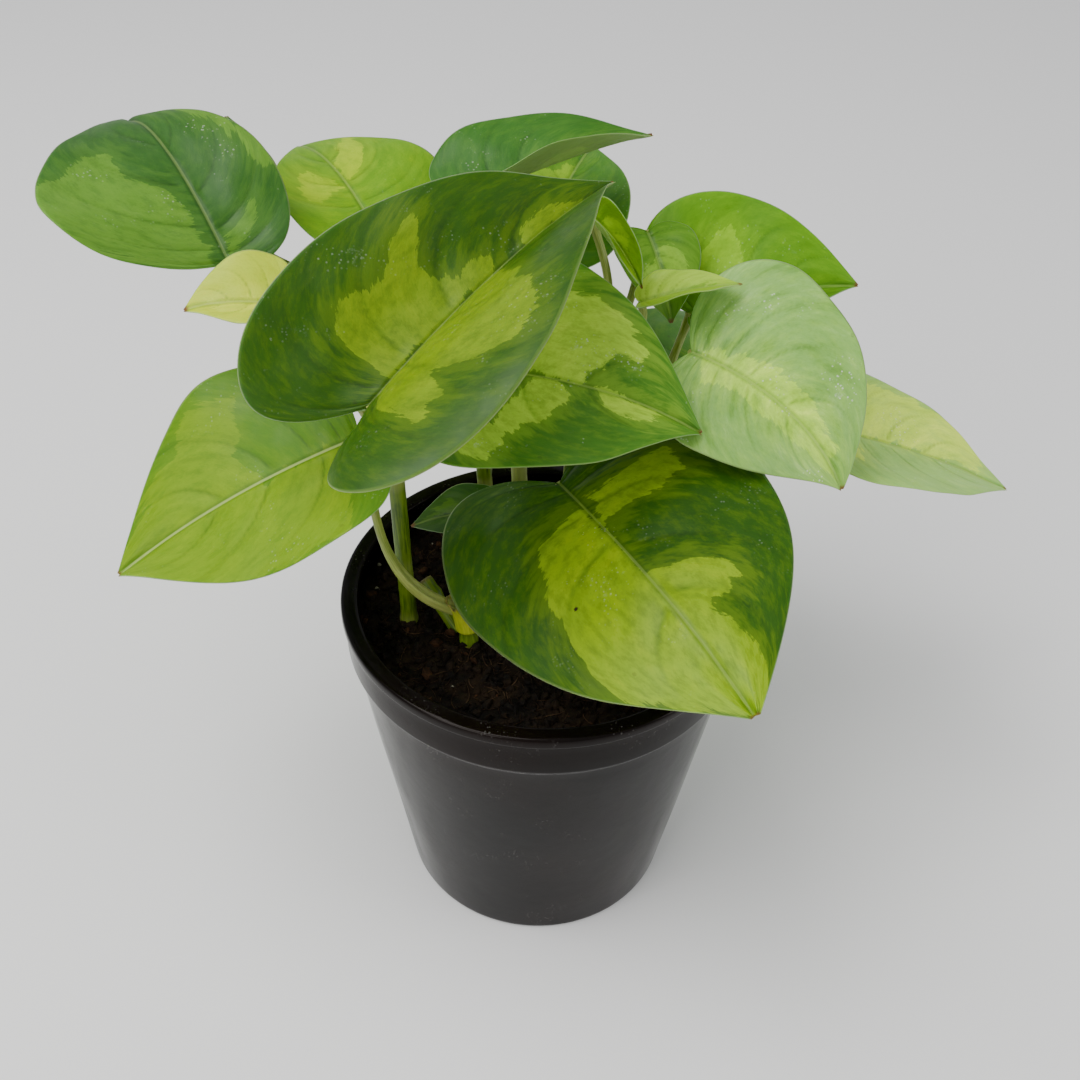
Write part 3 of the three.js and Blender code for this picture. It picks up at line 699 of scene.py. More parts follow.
def pot_skin():
    """Thin black plastic: dark, glossy, faintly brown, with handling scuffs and dried splashes."""
    material, sheet, shader = new_material("pot_plastic")
    place = sheet.place()
    cloud = sheet.noise(place, 22.0, 3.0)
    dark = sheet.mix(sheet.fade(cloud, 0.35, 0.7), (0.0009, 0.001, 0.0009, 1),
                     (0.0042, 0.0019, 0.0014, 1))
    scuffs = sheet.noise(sheet.stretch(place, (1.0, 1.0, 0.3)), 520.0, 6.0, 0.8)
    patchy = sheet.noise(place, 55.0, 2.0)
    worn = sheet.math("MULTIPLY", sheet.fade(scuffs, 0.6, 0.74), sheet.fade(patchy, 0.48, 0.66))
    dusty = sheet.mix(sheet.math("MULTIPLY", worn, 0.28), dark, (0.12, 0.11, 0.10, 1))
    chalk = use_group(sheet, WATER_MARKS, Place=place, Amount=0.16)["Marks"]
    splashed = sheet.mix(chalk, dusty, (0.3, 0.3, 0.28, 1))
    smear = sheet.noise(sheet.stretch(place, (1.0, 1.0, 0.25)), 120.0, 3.0)
    smooth = sheet.fade(smear, 0.3, 0.7, 0.11, 0.24)
    gloss = sheet.math("ADD", smooth, sheet.math("MULTIPLY", worn, 0.35))
    bump = sheet.add("ShaderNodeBump", Strength=0.2, Distance=0.0002,
                     Height=sheet.noise(place, 240.0, 3.0))
    sheet.fill(shader, Base_Color=splashed, Roughness=gloss, Normal=bump,
               Specular_IOR_Level=0.13, Specular_Tint=(1.0, 0.93, 0.89, 1))
    return material


def earth_skin(name, dark, light, grain=900.0):
    """Damp organic matter: a dark crumbly colour with lighter flecks, rough all over."""
    material, sheet, shader = new_material(name)
    place = sheet.place()
    coarse = sheet.noise(place, grain * 0.25, 4.0, 0.6)
    fine = sheet.noise(place, grain, 4.0, 0.7)
    mixed = sheet.mix(sheet.fade(coarse, 0.35, 0.7), colour_of(dark), colour_of(light))
    flecked = sheet.mix(sheet.fade(fine, 0.58, 0.72, 0.0, 0.6), mixed, colour_of(light))
    dull = sheet.fade(coarse, 0.3, 0.7, 0.62, 0.92)
    bump = sheet.add("ShaderNodeBump", Strength=0.9, Distance=0.0005, Height=fine)
    sheet.fill(shader, Base_Color=flecked, Roughness=dull, Normal=bump, Specular_IOR_Level=0.12)
    return material


# ---------------------------------------------------------------- leaf blades


def blade_axes(row, s):
    """The blade's forward, left and upward directions at shares s along its midrib: the climb
    falls by droop times s and by curl times s cubed, and left and up turn by the roll."""
    climb = np.radians(row["pitch"] - row["droop"] * s - row["curl"] * np.maximum(s, 0) ** 3)
    heading, tilt = math.radians(row["azimuth"]), math.radians(row["roll"])
    forward = np.stack([math.cos(heading) * np.cos(climb), math.sin(heading) * np.cos(climb),
                        np.sin(climb)], -1)
    level = np.array([-math.sin(heading), math.cos(heading), 0])
    above = np.cross(forward, level)
    left = level * math.cos(tilt) + above * math.sin(tilt)
    up = above * math.cos(tilt) - level * math.sin(tilt)
    return forward, left, up


def midrib_points(row, s):
    """Places along the midrib: the base, plus the forward direction added up from the notch."""
    walk = np.linspace(-1.2, 1, 881)
    step = row["length"] * (walk[1] - walk[0])
    forward = blade_axes(row, (walk[1:] + walk[:-1]) / 2)[0]
    line = np.vstack([np.zeros(3), np.cumsum(forward * step, 0)])
    line = line - line[np.argmin(np.abs(walk))]
    base = np.array(row["base"], float) + (0, 0, SOIL_Z)
    return np.stack([np.interp(s, walk, line[:, k]) for k in range(3)], -1) + base


def blade_sheet(row, u, v):
    """The blade's middle surface at u across (-1 right margin, 1 left margin) and v from the
    notch to the tip. The margin is at length times (v^1.3 less the lobe) along and half times
    sin(pi v) across, the midrib at v^2.2, and a line across joins the two. Each half leans up
    by its fold, and by its cup with the distance out; the margin ripples."""
    side, out = np.sign(u), np.abs(u)

    def pick(key):
        return np.where(side > 0, row[key][0], row[key][1])

    bulge = np.sin(math.pi * v)
    half = pick("half")
    margin_s = v**1.3 - pick("lobe") * bulge * (1 - v) ** 2
    s = v**2.2 * (1 - out) + margin_s * out
    across = half * bulge * (1 - row["tip"] * v**4) * out
    share = across / half
    lean = np.radians(pick("fold") + pick("cup") * share / 2)
    face_lean = np.radians(pick("fold") + pick("cup") * share) * ease(0, 1.5, across)
    ripple = row["wave"] * share**2 * np.sin(math.pi * (5 * v + side / 2))
    lift = np.sin(lean) * (np.sqrt(across**2 + 0.5) - math.sqrt(0.5))
    _, left, up = blade_axes(row, s)
    point = midrib_points(row, s) + left * (side * across * np.cos(lean))[..., None]
    point = point + up * (lift + ripple)[..., None]
    normal = up * np.cos(face_lean)[..., None] - left * (side * np.sin(face_lean))[..., None]
    return point, normal, side * share, s, across


def margin_room(row, u, v):
    """Roughly how far each point is from the margin, in millimetres."""
    width = np.where(u > 0, row["half"][0], row["half"][1])
    return np.minimum((1 - np.abs(u)) * width * np.sin(math.pi * v) + 0.02,
                      (1 - v) * row["length"] * 1.2 + 0.05)


def make_blade(name, row, look, seed):
    """A closed blade. The upper face runs from the left margin to the right and the lower face
    back, so that they share the margin. The faces part by the thickness, which closes to the
    margin, and carry a sunk midrib and side veins above, and a raised midrib below."""
    widest = max(row["half"])
    columns, rows = LARGE_GRID if widest > LARGE_HALF else SMALL_GRID
    t = 1 - np.arange(2 * columns) / columns
    t = np.sign(t) * np.abs(t) ** 1.25
    u = np.concatenate([t, -t])
    upper = np.concatenate([np.ones(len(t)), -np.ones(len(t))])
    v = np.linspace(0, 1, rows + 2)[1:-1]
    u, v = np.meshgrid(u, v)
    upper = np.broadcast_to(upper, u.shape)
    wander = 1 + 0.012 * smooth_noise(v * 9 + 5, np.sign(u) * 3 + 7, seed) * np.abs(u) ** 3
    point, normal, share, s, across = blade_sheet(row, u * wander, v)
    out = np.abs(u)
    size = widest / USUAL_HALF
    label = v - 0.18 * out**2 + 1 + 0.03 * smooth_noise(v * 5 + 2, 3 * np.sign(u) + 8, seed + 9)
    turn = (label * SIDE_VEINS) % 1 - 0.5
    fade = np.clip(1.1 - out, 0, 1) * ease(0, 0.12, out) * ease(0, 0.15, v) * ease(1, 0.8, v)
    side_vein = np.exp(-((turn / 0.035) ** 2)) * fade
    furrow = np.exp(-((turn / 0.2) ** 2)) * fade
    thin = np.sqrt(np.clip(1 - out**12, 0, 1)) * np.sqrt(np.clip(1 - v**14, 0, 1))
    buckle = layered_noise(share * 1.6 + 9, s * 2.4 + 3, seed + 40, 2) * ease(0.05, 0.5, out)
    relief = (BUCKLE * size * buckle - VEIN_GROOVE * size * side_vein
              - VEIN_FURROW * size * furrow)
    sunk = MIDRIB_SINK * np.exp(-((across / 0.7) ** 2)) * (1 - 0.6 * s) * ease(0, 0.05, v)
    rib_width = 0.5 + 0.75 * (1 - s)
    raised = MIDRIB_RISE * (1 - 0.75 * s) * np.exp(-((across / rib_width) ** 2)) * thin
    offset = np.where(upper > 0, BLADE_THICKNESS / 2 * thin - sunk,
                      -(BLADE_THICKNESS / 2 * thin + raised + 0.1 * side_vein))
    rings = point + normal * (relief + offset)[..., None]
    vertices, faces = closed_tube(rings)
    piece = add_piece(name + "_blade", vertices, faces, blade_skin(name + "_blade", look),
                      ["leaf_" + name])
    width = np.where(share > 0, row["half"][0], row["half"][1])
    flat_x, flat_y = share * width, s * row["length"]
    patch = np.full(u.shape, FAR_FROM_PATCH)
    for outline in look["patches"]:
        corners = [(x * (row["half"][0] if x > 0 else row["half"][1]), y * row["length"])
                   for x, y in outline]
        patch = np.maximum(patch, patch_distance(corners, flat_x, flat_y))
    flow_x = label * row["length"] * 1.15
    flow_y = out * width
    teeth = layered_noise(flow_x * 0.33, flow_y * 0.06 + 7 * np.sign(u), seed + 80, 3)
    patch = patch + PATCH_TEETH * teeth
    tip = np.hypot(flat_x, (1 - s) * row["length"])
    edge = margin_room(row, u, v)
    under = (upper < 0).astype(float)
    set_values(piece, "leaf_marks", tube_values(patch, edge, tip))
    set_values(piece, "leaf_lines", tube_values(across, side_vein, under))
    set_values(piece, "leaf_flow", tube_values(flow_x, flow_y, 9 * np.sign(u) + 20 * under))


# ---------------------------------------------------------------- vines and stalks


def vine_points(name):
    """The vine's four points: its root's foot, the soil's top, halfway up and its own top."""
    (x, y), (top_x, top_y, rise) = VINES[name]
    return np.array([
        (x, y, SOIL_Z - ROOT_DEPTH),
        (x, y, SOIL_Z),
        ((x + top_x) / 2, (y + top_y) / 2, SOIL_Z + rise / 2),
        (top_x, top_y, SOIL_Z + rise)], float)


def vine_axis(name, steps=61):
    """The vine's axis: a centripetal Catmull-Rom curve through its four points, each stretch a
    cubic whose end slopes come from the neighbouring points, weighted by the square roots of
    the spacings."""
    points = vine_points(name)
    points = np.vstack([2 * points[0] - points[1], points, 2 * points[-1] - points[-2]])
    t = np.linspace(0, 1, steps)[:, None]
    stretches = []
    for at in range(1, 4):
        p0, p1, p2, p3 = points[at - 1:at + 3]
        d0, d1, d2 = (np.sqrt(np.linalg.norm(b - a)) for a, b in ((p0, p1), (p1, p2), (p2, p3)))
        leave = ((p1 - p0) / d0 - (p2 - p0) / (d0 + d1) + (p2 - p1) / d1) * d1
        arrive = ((p2 - p1) / d1 - (p3 - p1) / (d1 + d2) + (p3 - p2) / d2) * d1
        curve = (p1 * (2 * t**3 - 3 * t**2 + 1) + leave * (t**3 - 2 * t**2 + t)
                 + p2 * (3 * t**2 - 2 * t**3) + arrive * (t**3 - t**2))
        stretches.append(curve if at == 3 else curve[:-1])
    return np.vstack(stretches)


def on_vine(name, height):
    """The point of a vine's axis at a height above the soil."""
    axis = vine_axis(name)
    return np.array([np.interp(SOIL_Z + height, axis[:, 2], axis[:, k]) for k in range(3)])


def stem_values(piece, rings, angle, length, scar, bright):
    """Stores, for a tube, the place round and along it, and its scars and bright parts."""
    shape = rings.shape[:2]
    flow = [np.cos(angle) * 2, length[:, None], np.sin(angle) * 2]
    marks = [scar, bright, np.zeros((len(rings), 1))]
    set_values(piece, "stem_flow", tube_values(*(np.broadcast_to(a, shape) for a in flow)))
    set_values(piece, "stem_marks", tube_values(*(np.broadcast_to(a, shape) for a in marks)))


def make_vine(name, seed):
    """A rooted stem: a round bar with swollen, scarred joints where its stalks leave, fine
    ridges along it, and a tapered top."""
    axis = vine_axis(name)
    height = axis[:, 2] - SOIL_Z
    joints = sorted({row["start"] for row in LEAVES.values() if row["vine"] == name} | {1.0})
    swell, scar = np.zeros(len(axis)), np.zeros(len(axis))
    for joint in joints:
        swell += 0.4 * np.exp(-(((height - joint + 1) / 1.8) ** 2))
        scar += np.exp(-(((height - joint + 2.2) / 0.5) ** 2))
    top = height[-1]
    taper = np.sqrt(np.clip((top - height) / 4.5, 0.004, 1)) ** 0.8
    angle = circle_angles(VINE_SIDES)
    ridges = 0.05 * np.cos(7 * angle)[None] + 0.06 * smooth_noise(
        height[:, None] * 0.3 + 0 * angle, angle * 3 + 0 * height[:, None], seed)
    radius = ((VINE_RADIUS - 0.15 + swell)[:, None] + ridges) * taper[:, None]
    rings, angle = swept(axis, radius, VINE_SIDES, np.array([1.0, 0.2, 0]))
    vertices, faces = closed_tube(rings)
    piece = add_piece(name + "_vine", vertices, faces, VINE_SKIN, ["vine_" + name])
    bright = (ease(0.2, 1, smooth_noise(height * 0.12 + seed, height * 0, seed + 3)) * 0.4)[:, None]
    stem_values(piece, rings, angle, height, np.clip(scar, 0, 1)[:, None], bright)


def stalk_path(row, steps=57):
    """A cubic curve from inside the vine, out along the leaving direction, up to the notch."""
    axis = on_vine(row["vine"], row["start"])
    _, _, up = blade_axes(row, np.array(0.0))
    heading, leaving = np.radians(row["leave"])
    outward = np.array([math.cos(heading), math.sin(heading), 0])
    start = axis + outward * (VINE_RADIUS + GAP + STALK_RADIUS * math.sin(leaving))
    dip = max(0, *(-math.tan(math.radians(f)) for f in row["fold"]))
    under = NODE_BLADE_THICKNESS / 2 + GAP + dip * STALK_RADIUS
    end = midrib_points(row, np.array(0.0)) - up * under
    reach = np.linalg.norm(end - start)
    first = outward * math.cos(leaving) + np.array([0, 0, math.sin(leaving)])
    p1, p2 = start + first * reach * 0.45, end - up * reach * 0.2
    t = np.linspace(0, 1, steps)[:, None]
    curve = ((1 - t) ** 3 * start + 3 * t * (1 - t) ** 2 * p1 + 3 * t * t * (1 - t) * p2 + t**3 * end)
    foot = start - first * np.linspace(2.6, 0.4, 5)[:, None]
    head = end + up * np.linspace(0.15, under - 0.1, 3)[:, None]
    return np.vstack([foot, curve, head])


def make_stalk(name, row):
    """A leaf stalk: thicker and channelled with two thin wings where it sheathes the vine, slim
    and round further on, and swollen just below the blade."""
    path = stalk_path(row)
    step = np.linalg.norm(np.diff(path, axis=0), axis=1)
    length = np.concatenate([[0], np.cumsum(step)])
    share = length / length[-1]
    angle = circle_angles(STALK_SIDES)
    off_axis = np.angle(np.exp(1j * angle))
    sheath = ease(0.5, 0.12, share)
    slim = STALK_RADIUS * (1.0 - 0.16 * ease(0.1, 0.6, share))
    knee = 0.22 * np.exp(-(((length[-1] - length - 3.5) / 2.2) ** 2))
    body = (slim + 0.28 * sheath + knee)[:, None]
    channel = (0.2 + 0.35 * sheath)[:, None] * np.exp(-((off_axis / 0.5) ** 2))
    wings = 0.75 * sheath[:, None] * np.exp(-(((np.abs(off_axis) - 0.85) / 0.22) ** 2))
    end_taper = ease(-0.01, 0.02, share)[:, None]
    radius = (body - channel + wings) * end_taper
    ahead = unit(np.gradient(path, axis=0))
    heading = math.radians(row["azimuth"])
    reference = np.array([0, 0, 1.0])
    if abs(ahead[10, 2]) >= 0.9:
        reference = np.array([math.cos(heading), math.sin(heading), 0])
    if abs(ahead[-1] @ reference) > 0.95:
        reference = -blade_axes(row, np.array(0.0))[0] + 0.3 * reference
    rings, angle = swept(path, radius, STALK_SIDES, unit(reference))
    vertices, faces = closed_tube(rings)
    piece = add_piece(name + "_stalk", vertices, faces, STALK_SKIN,
                      ["stalk_" + name])
    bright = (0.35 * sheath + 0.25 * ease(0.9, 1.0, share))[:, None]
    stem_values(piece, rings, angle, length, np.zeros((len(path), 1)), bright)


def make_root_nubs():
    """Short brown root nubs: tapered pegs on the far side of the vine from each stalk."""
    tubes = []
    for row in LEAVES.values():
        heading = math.radians(row["leave"][0] + 150)
        outward = np.array([math.cos(heading), math.sin(heading), -0.35])
        foot = on_vine(row["vine"], max(row["start"] - 2.0, 2.0))
        t = np.linspace(0, 1, 9)
        path = foot + outward * (1.2 + 2.9 * t)[:, None]
        path[:, 2] -= 0.8 * t**2
        tubes.append(swept(path, 0.85 * np.sqrt(1.02 - t**2), 10, np.array([0, 0, 1.0]))[0])
    vertices, faces = joined_tubes(tubes)
    add_piece("root_nubs", vertices, faces, NUB_SKIN)


def make_stub(name, root, top, radius, seed):
    """The stump of a cut stem: a leaning bar with a ring near its top and a sunk, dry end."""
    t = np.linspace(0, 1, 30)
    path = np.array(root) + (np.array(top) - np.array(root)) * t[:, None]
    path = np.vstack([path, path[-1:] - (path[-1] - path[-2]) * np.array([[0.2], [0.9]])])
    t = np.append(t, [1.0, 1.0])
    ring = 0.3 * np.exp(-(((t - 0.72) / 0.06) ** 2))
    narrow = np.append(np.ones(30), [0.8, 0.35])
    narrow[28:30] = (0.985, 0.93)
    angle = circle_angles(STUB_SIDES)
    rough = 0.12 * smooth_noise(t[:, None] * 4 + 0 * angle, np.cos(angle) * 2 + 3 + 0 * t[:, None],
                                seed)
    lean = unit((np.array(top) - np.array(root))[None])[0]
    across = unit(np.cross(lean, (0, 1.0, 0))[None])[0]
    beside = np.cross(lean, across)
    rim = (radius + ring)[:, None] * narrow[:, None] + rough
    rings = path[:, None] + rim[..., None] * (
        np.cos(angle)[:, None] * across + np.sin(angle)[:, None] * beside)
    vertices, faces = closed_tube(rings)
    piece = add_piece(name, vertices, faces, VINE_SKIN)
    dry = np.append(np.zeros(28), [0.5, 0.9, 1, 1])[:, None]
    stem_values(piece, rings, angle, t * 12, dry, np.zeros((32, 1)))


def make_sheath(name, vine, low, high, seed):
    """A papery leaf base left round a vine: a sleeve, open to one side, that stands off the vine
    towards its torn top edge. Its inner face follows the outer one inwards."""
    levels = np.linspace(0, 1, 26)
    height = low + (high - low) * levels
    middle = np.array([on_vine(vine, h) for h in height])
    wrap = np.linspace(-1, 1, 40) * math.radians(132)
    stand = 0.35 + 1.3 * levels**3
    torn = 1.1 * smooth_noise(wrap * 3 + 9, 0 * wrap, seed) * levels[:, None] ** 6

    def sleeve(inset):
        reach = VINE_RADIUS + 0.35 + stand[:, None] - inset + 0.5 * (wrap / wrap[-1]) ** 4
        return np.stack([middle[:, :1] + reach * np.cos(wrap + 3.9),
                         middle[:, 1:2] + reach * np.sin(wrap + 3.9),
                         middle[:, 2:] + torn], -1)

    rings = np.concatenate([sleeve(0.0), sleeve(0.35)[:, ::-1]], 1)
    vertices, faces = closed_tube(rings)
    keep = rings.shape[0] * rings.shape[1]
    sides = rings.shape[1]
    caps = [[side, side + 1, sides - 2 - side, sides - 1 - side] for side in range(sides // 2 - 1)]
    last = keep - sides
    faces = [f for f in faces if max(f) < keep] + [c[::-1] for c in caps] + [
        [last + i for i in c] for c in caps]
    piece = add_piece(name, vertices[:keep], faces, SHEATH_SKIN)
    around = np.concatenate([wrap, wrap[::-1]]) * 2.2 + 0 * height[:, None]
    along = height[:, None] + 0 * around
    set_values(piece, "stem_flow", np.stack([around, along, 0 * around], -1).reshape(-1, 3))
    edge = ease(0.86, 1.0, levels)[:, None] + 0 * around
    set_values(piece, "stem_marks", np.stack([edge, 0 * around, 0 * around], -1).reshape(-1, 3))


# ---------------------------------------------------------------- pot

band_radius = RIM_RADIUS - BAND_INSET
shoulder_radius = band_radius - SHOULDER_STEP
shoulder_z = POT_HEIGHT - LIP_HEIGHT - BAND_HEIGHT


def inside_radius(z):
    """Inside radius of the pot at a height: the tapered wall, then the upright band."""
    share = np.clip((z - FOOT_RADIUS) / (shoulder_z - FOOT_RADIUS), 0, 1)
    tapered = BASE_RADIUS + (shoulder_radius - BASE_RADIUS) * share - WALL
    return np.where(z > shoulder_z, band_radius - WALL, tapered)


def rounded(outline, steps=4):
    """An outline of (radius, z, rounding) with each corner replaced by a short curve, a
    quadratic through points set back from the corner by its rounding."""
    points = np.array([p[:2] for p in outline], float)
    line = []
    for at, (corner, (_, _, rounding)) in enumerate(zip(points, outline)):
        if rounding == 0 or at in (0, len(points) - 1):
            line.append(corner[None])
            continue
        before, after = points[at - 1] - corner, points[at + 1] - corner
        reach = min(rounding, np.linalg.norm(before) / 2, np.linalg.norm(after) / 2)
        a = corner + unit(before) * reach
        b = corner + unit(after) * reach
        t = np.linspace(0, 1, steps + 1)[:, None]
        line.append((1 - t) ** 2 * a + 2 * t * (1 - t) * corner + t**2 * b)
    return np.vstack(line)


def subdivided(line, longest):
    """A line with points added so that no stretch is longer than the given length."""
    parts = [line[:1]]
    for a, b in zip(line[:-1], line[1:]):
        count = max(1, int(np.ceil(np.linalg.norm(b - a) / longest)))
        parts.append(a + (b - a) * (np.arange(1, count + 1) / count)[:, None])
    return np.vstack(parts)


def make_pot():
    """The pot: its outline turned about the axis, with a wall that wavers slightly, as thin
    moulded plastic does, and drain holes cut through the base."""
    lip_inner = RIM_RADIUS - LIP_WIDTH
    outline = [
        (0, 0.6, 0), (BASE_RADIUS * 0.3, 0.6, 0.5), (BASE_RADIUS * 0.34, 0, 0.5),
        (BASE_RADIUS - 0.4, 0, 1.2), (BASE_RADIUS, FOOT_RADIUS + 0.6, 1.5),
        (shoulder_radius, shoulder_z - 0.6, 0.7), (band_radius, shoulder_z + 0.9, 0.8),
        (band_radius, POT_HEIGHT - LIP_HEIGHT, 0.35), (RIM_RADIUS, POT_HEIGHT - LIP_HEIGHT, 0.7),
        (RIM_RADIUS, POT_HEIGHT, 1.2), (lip_inner, POT_HEIGHT, 1.0),
        (lip_inner, POT_HEIGHT - LIP_HEIGHT + 0.3, 0.6),
        (band_radius - WALL, POT_HEIGHT - LIP_HEIGHT - 1.2, 0.8),
        (band_radius - WALL, shoulder_z + 1.0, 0.5),
        (shoulder_radius - WALL, shoulder_z - 0.4, 0.5),
        (BASE_RADIUS - WALL, FOOT_RADIUS + WALL, 1.2), (0, WALL, 0)]
    line = subdivided(rounded(outline), 3.0)[1:-1]
    angle = -circle_angles(POT_SIDES)
    radius = line[:, :1] + 0 * angle
    z = line[:, 1:] + 0 * angle
    wall = ease(4, 20, z) * ease(shoulder_z, shoulder_z - 8, z)
    waver = smooth_noise(angle * 16 / (2 * math.pi) + 0 * z + 64, z * 0.035, 5)
    seam = (angle + 2 * math.pi) % (2 * math.pi)
    waver = waver * ease(0, 0.5, seam) * ease(2 * math.pi, 2 * math.pi - 0.5, seam)
    radius = radius + WALL_WAVER * waver * wall
    rings = np.stack([radius * np.cos(angle), radius * np.sin(angle), z], -1)
    vertices, faces = closed_tube(rings)
    pot = add_piece("pot_shell", vertices, faces, pot_skin(), ["nursery_pot"])
    cut_drain_holes(pot)


def cut_drain_holes(pot):
    """Cuts the round drain holes with one mesh of short bars."""
    side = circle_angles(DRAIN_SIDES)
    reach = BASE_RADIUS - DRAIN_INSET
    bars = []
    for centre in circle_angles(DRAIN_HOLES):
        ring = np.stack([reach * math.cos(centre) + DRAIN_RADIUS * np.cos(side),
                         reach * math.sin(centre) + DRAIN_RADIUS * np.sin(side)], -1)
        bars.append(np.stack([np.column_stack([ring, np.full(DRAIN_SIDES, z)])
                              for z in DRAIN_CUT]))
    vertices, faces = joined_tubes(bars)
    mesh = bpy.data.meshes.new("drain_cutter")
    mesh.from_pydata((vertices * MM).tolist(), [], faces)
    cutter = add_object("drain_cutter", mesh)
    cut = pot.modifiers.new("drain holes", "BOOLEAN")
    cut.operation, cut.solver, cut.object = "DIFFERENCE", "EXACT", cutter
    bpy.context.view_layer.update()
    done = bpy.data.meshes.new_from_object(pot.evaluated_get(bpy.context.evaluated_depsgraph_get()))
    work = bmesh.new()
    work.from_mesh(done)
    bmesh.ops.remove_doubles(work, verts=work.verts, dist=MERGE_DISTANCE * MM)
    work.to_mesh(done)
    work.free()
    pot.modifiers.clear()
    pot.data = done
    bpy.data.objects.remove(cutter)
    bpy.data.meshes.remove(mesh)
    pot.data.set_sharp_from_angle(angle=math.radians(SHARP_DEGREES))


# ---------------------------------------------------------------- soil


def soil_height(x, y):
    """The soil's surface: low at the pot's wall, crowned in the middle, heaped a little round
    each vine, and crumbly at every scale."""
    out = np.hypot(x, y) / inside_radius(SOIL_Z)
    z = SOIL_Z - SOIL_DIP - SOIL_CROWN * out**2
    for (root_x, root_y), _ in VINES.values():
        near = ((x - root_x) ** 2 + (y - root_y) ** 2) / HEAP_WIDTH**2
        z = z + ROOT_HEAP * np.exp(-near)
    return z + CRUMB_HEIGHT * layered_noise(x * 0.11 + 20, y * 0.11 + 20, 11, 6)


def make_soil():
    """A closed body: the crumbly top as rings of points, then down the pot's wall to its floor."""
    edge = float(inside_radius(SOIL_Z)) - GAP
    angle = circle_angles(SOIL_SIDES)
    top_radii = edge * np.linspace(0.004, 1, 120) ** 0.9
    x, y = top_radii[:, None] * np.cos(angle), top_radii[:, None] * np.sin(angle)
    top = np.stack([x, y, soil_height(x, y)], -1)
    low = [(edge, shoulder_z + GAP), (shoulder_radius - WALL - GAP, shoulder_z - 0.5),
           (BASE_RADIUS - WALL - GAP, FOOT_RADIUS + WALL + 2 * GAP),
           (BASE_RADIUS - WALL - 4, SOIL_LOW_Z), (0.5, SOIL_LOW_Z)]
    radii, heights = np.array(low).T[:, :, None]
    side = np.stack([radii * np.cos(angle), radii * np.sin(angle), heights + 0 * angle], -1)
    rings = np.concatenate([top, side])[::-1]
    vertices, faces = closed_tube(rings)
    add_piece("soil_bed", vertices, faces, EARTH, ["potting_soil"])


def icosahedron():
    """The 12 corners and 20 outward faces of an icosahedron of radius 1: the corners are the
    turns of (0, 1, golden ratio), and the faces join corners that are next to each other."""
    golden = (1 + math.sqrt(5)) / 2
    points = np.array([(0, a, b * golden) for a in (-1, 1) for b in (-1, 1)], float)
    points = unit(np.vstack([points, np.roll(points, 1, 1), np.roll(points, 2, 1)]))
    near = np.linalg.norm(points[:, None] - points[None], axis=-1) < 1.1
    faces = [(i, j, k) for i in range(12) for j in range(i + 1, 12) for k in range(j + 1, 12)
             if near[i, j] and near[j, k] and near[i, k]]
    turned = [f if np.linalg.det(points[list(f)]) > 0 else (f[0], f[2], f[1]) for f in faces]
    return points, np.array(turned)


def random_turns(rng, count):
    """Random rotation matrices, from random unit quaternions."""
    w, x, y, z = unit(rng.normal(size=(count, 4))).T
    return np.stack([
        np.stack([1 - 2 * (y * y + z * z), 2 * (x * y - z * w), 2 * (x * z + y * w)], -1),
        np.stack([2 * (x * y + z * w), 1 - 2 * (x * x + z * z), 2 * (y * z - x * w)], -1),
        np.stack([2 * (x * z - y * w), 2 * (y * z + x * w), 1 - 2 * (x * x + y * y)], -1)], -2)


def scattered_places(rng, count, margin=2.0):
    """Random places on the soil, spread evenly over its disc."""
    radius = (float(inside_radius(SOIL_Z)) - GAP - margin) * np.sqrt(rng.uniform(0, 1, count))
    angle = rng.uniform(0, 2 * math.pi, count)
    x, y = radius * np.cos(angle), radius * np.sin(angle)
    return np.stack([x, y, soil_height(x, y)], -1)


def make_lumps(name, count, sizes, stretch, sunk, material, seed):
    """Irregular lumps on the soil: icosahedra with shaken corners, scaled, turned and set down,
    sunk by a share of their size."""
    rng = np.random.default_rng(seed)
    corners, faces = icosahedron()
    size = sizes[0] + (sizes[1] - sizes[0]) * rng.uniform(0, 1, count) ** 2.5
    shaken = corners[None] * rng.uniform(0.7, 1.25, (count, 12, 1))
    shaken = shaken * (size[:, None] * rng.uniform(*stretch, (count, 3)))[:, None]
    turned = np.einsum("nij,nkj->nki", random_turns(rng, count), shaken)
    places = scattered_places(rng, count, margin=float(sizes[1]))
    places[:, 2] += size * (0.5 - sunk) * LUMP_SEAT
    vertices = (turned + places[:, None]).reshape(-1, 3)
    all_faces = (faces[None] + 12 * np.arange(count)[:, None, None]).reshape(-1, 3)
    add_piece(name, vertices, all_faces.tolist(), material, smooth=False)


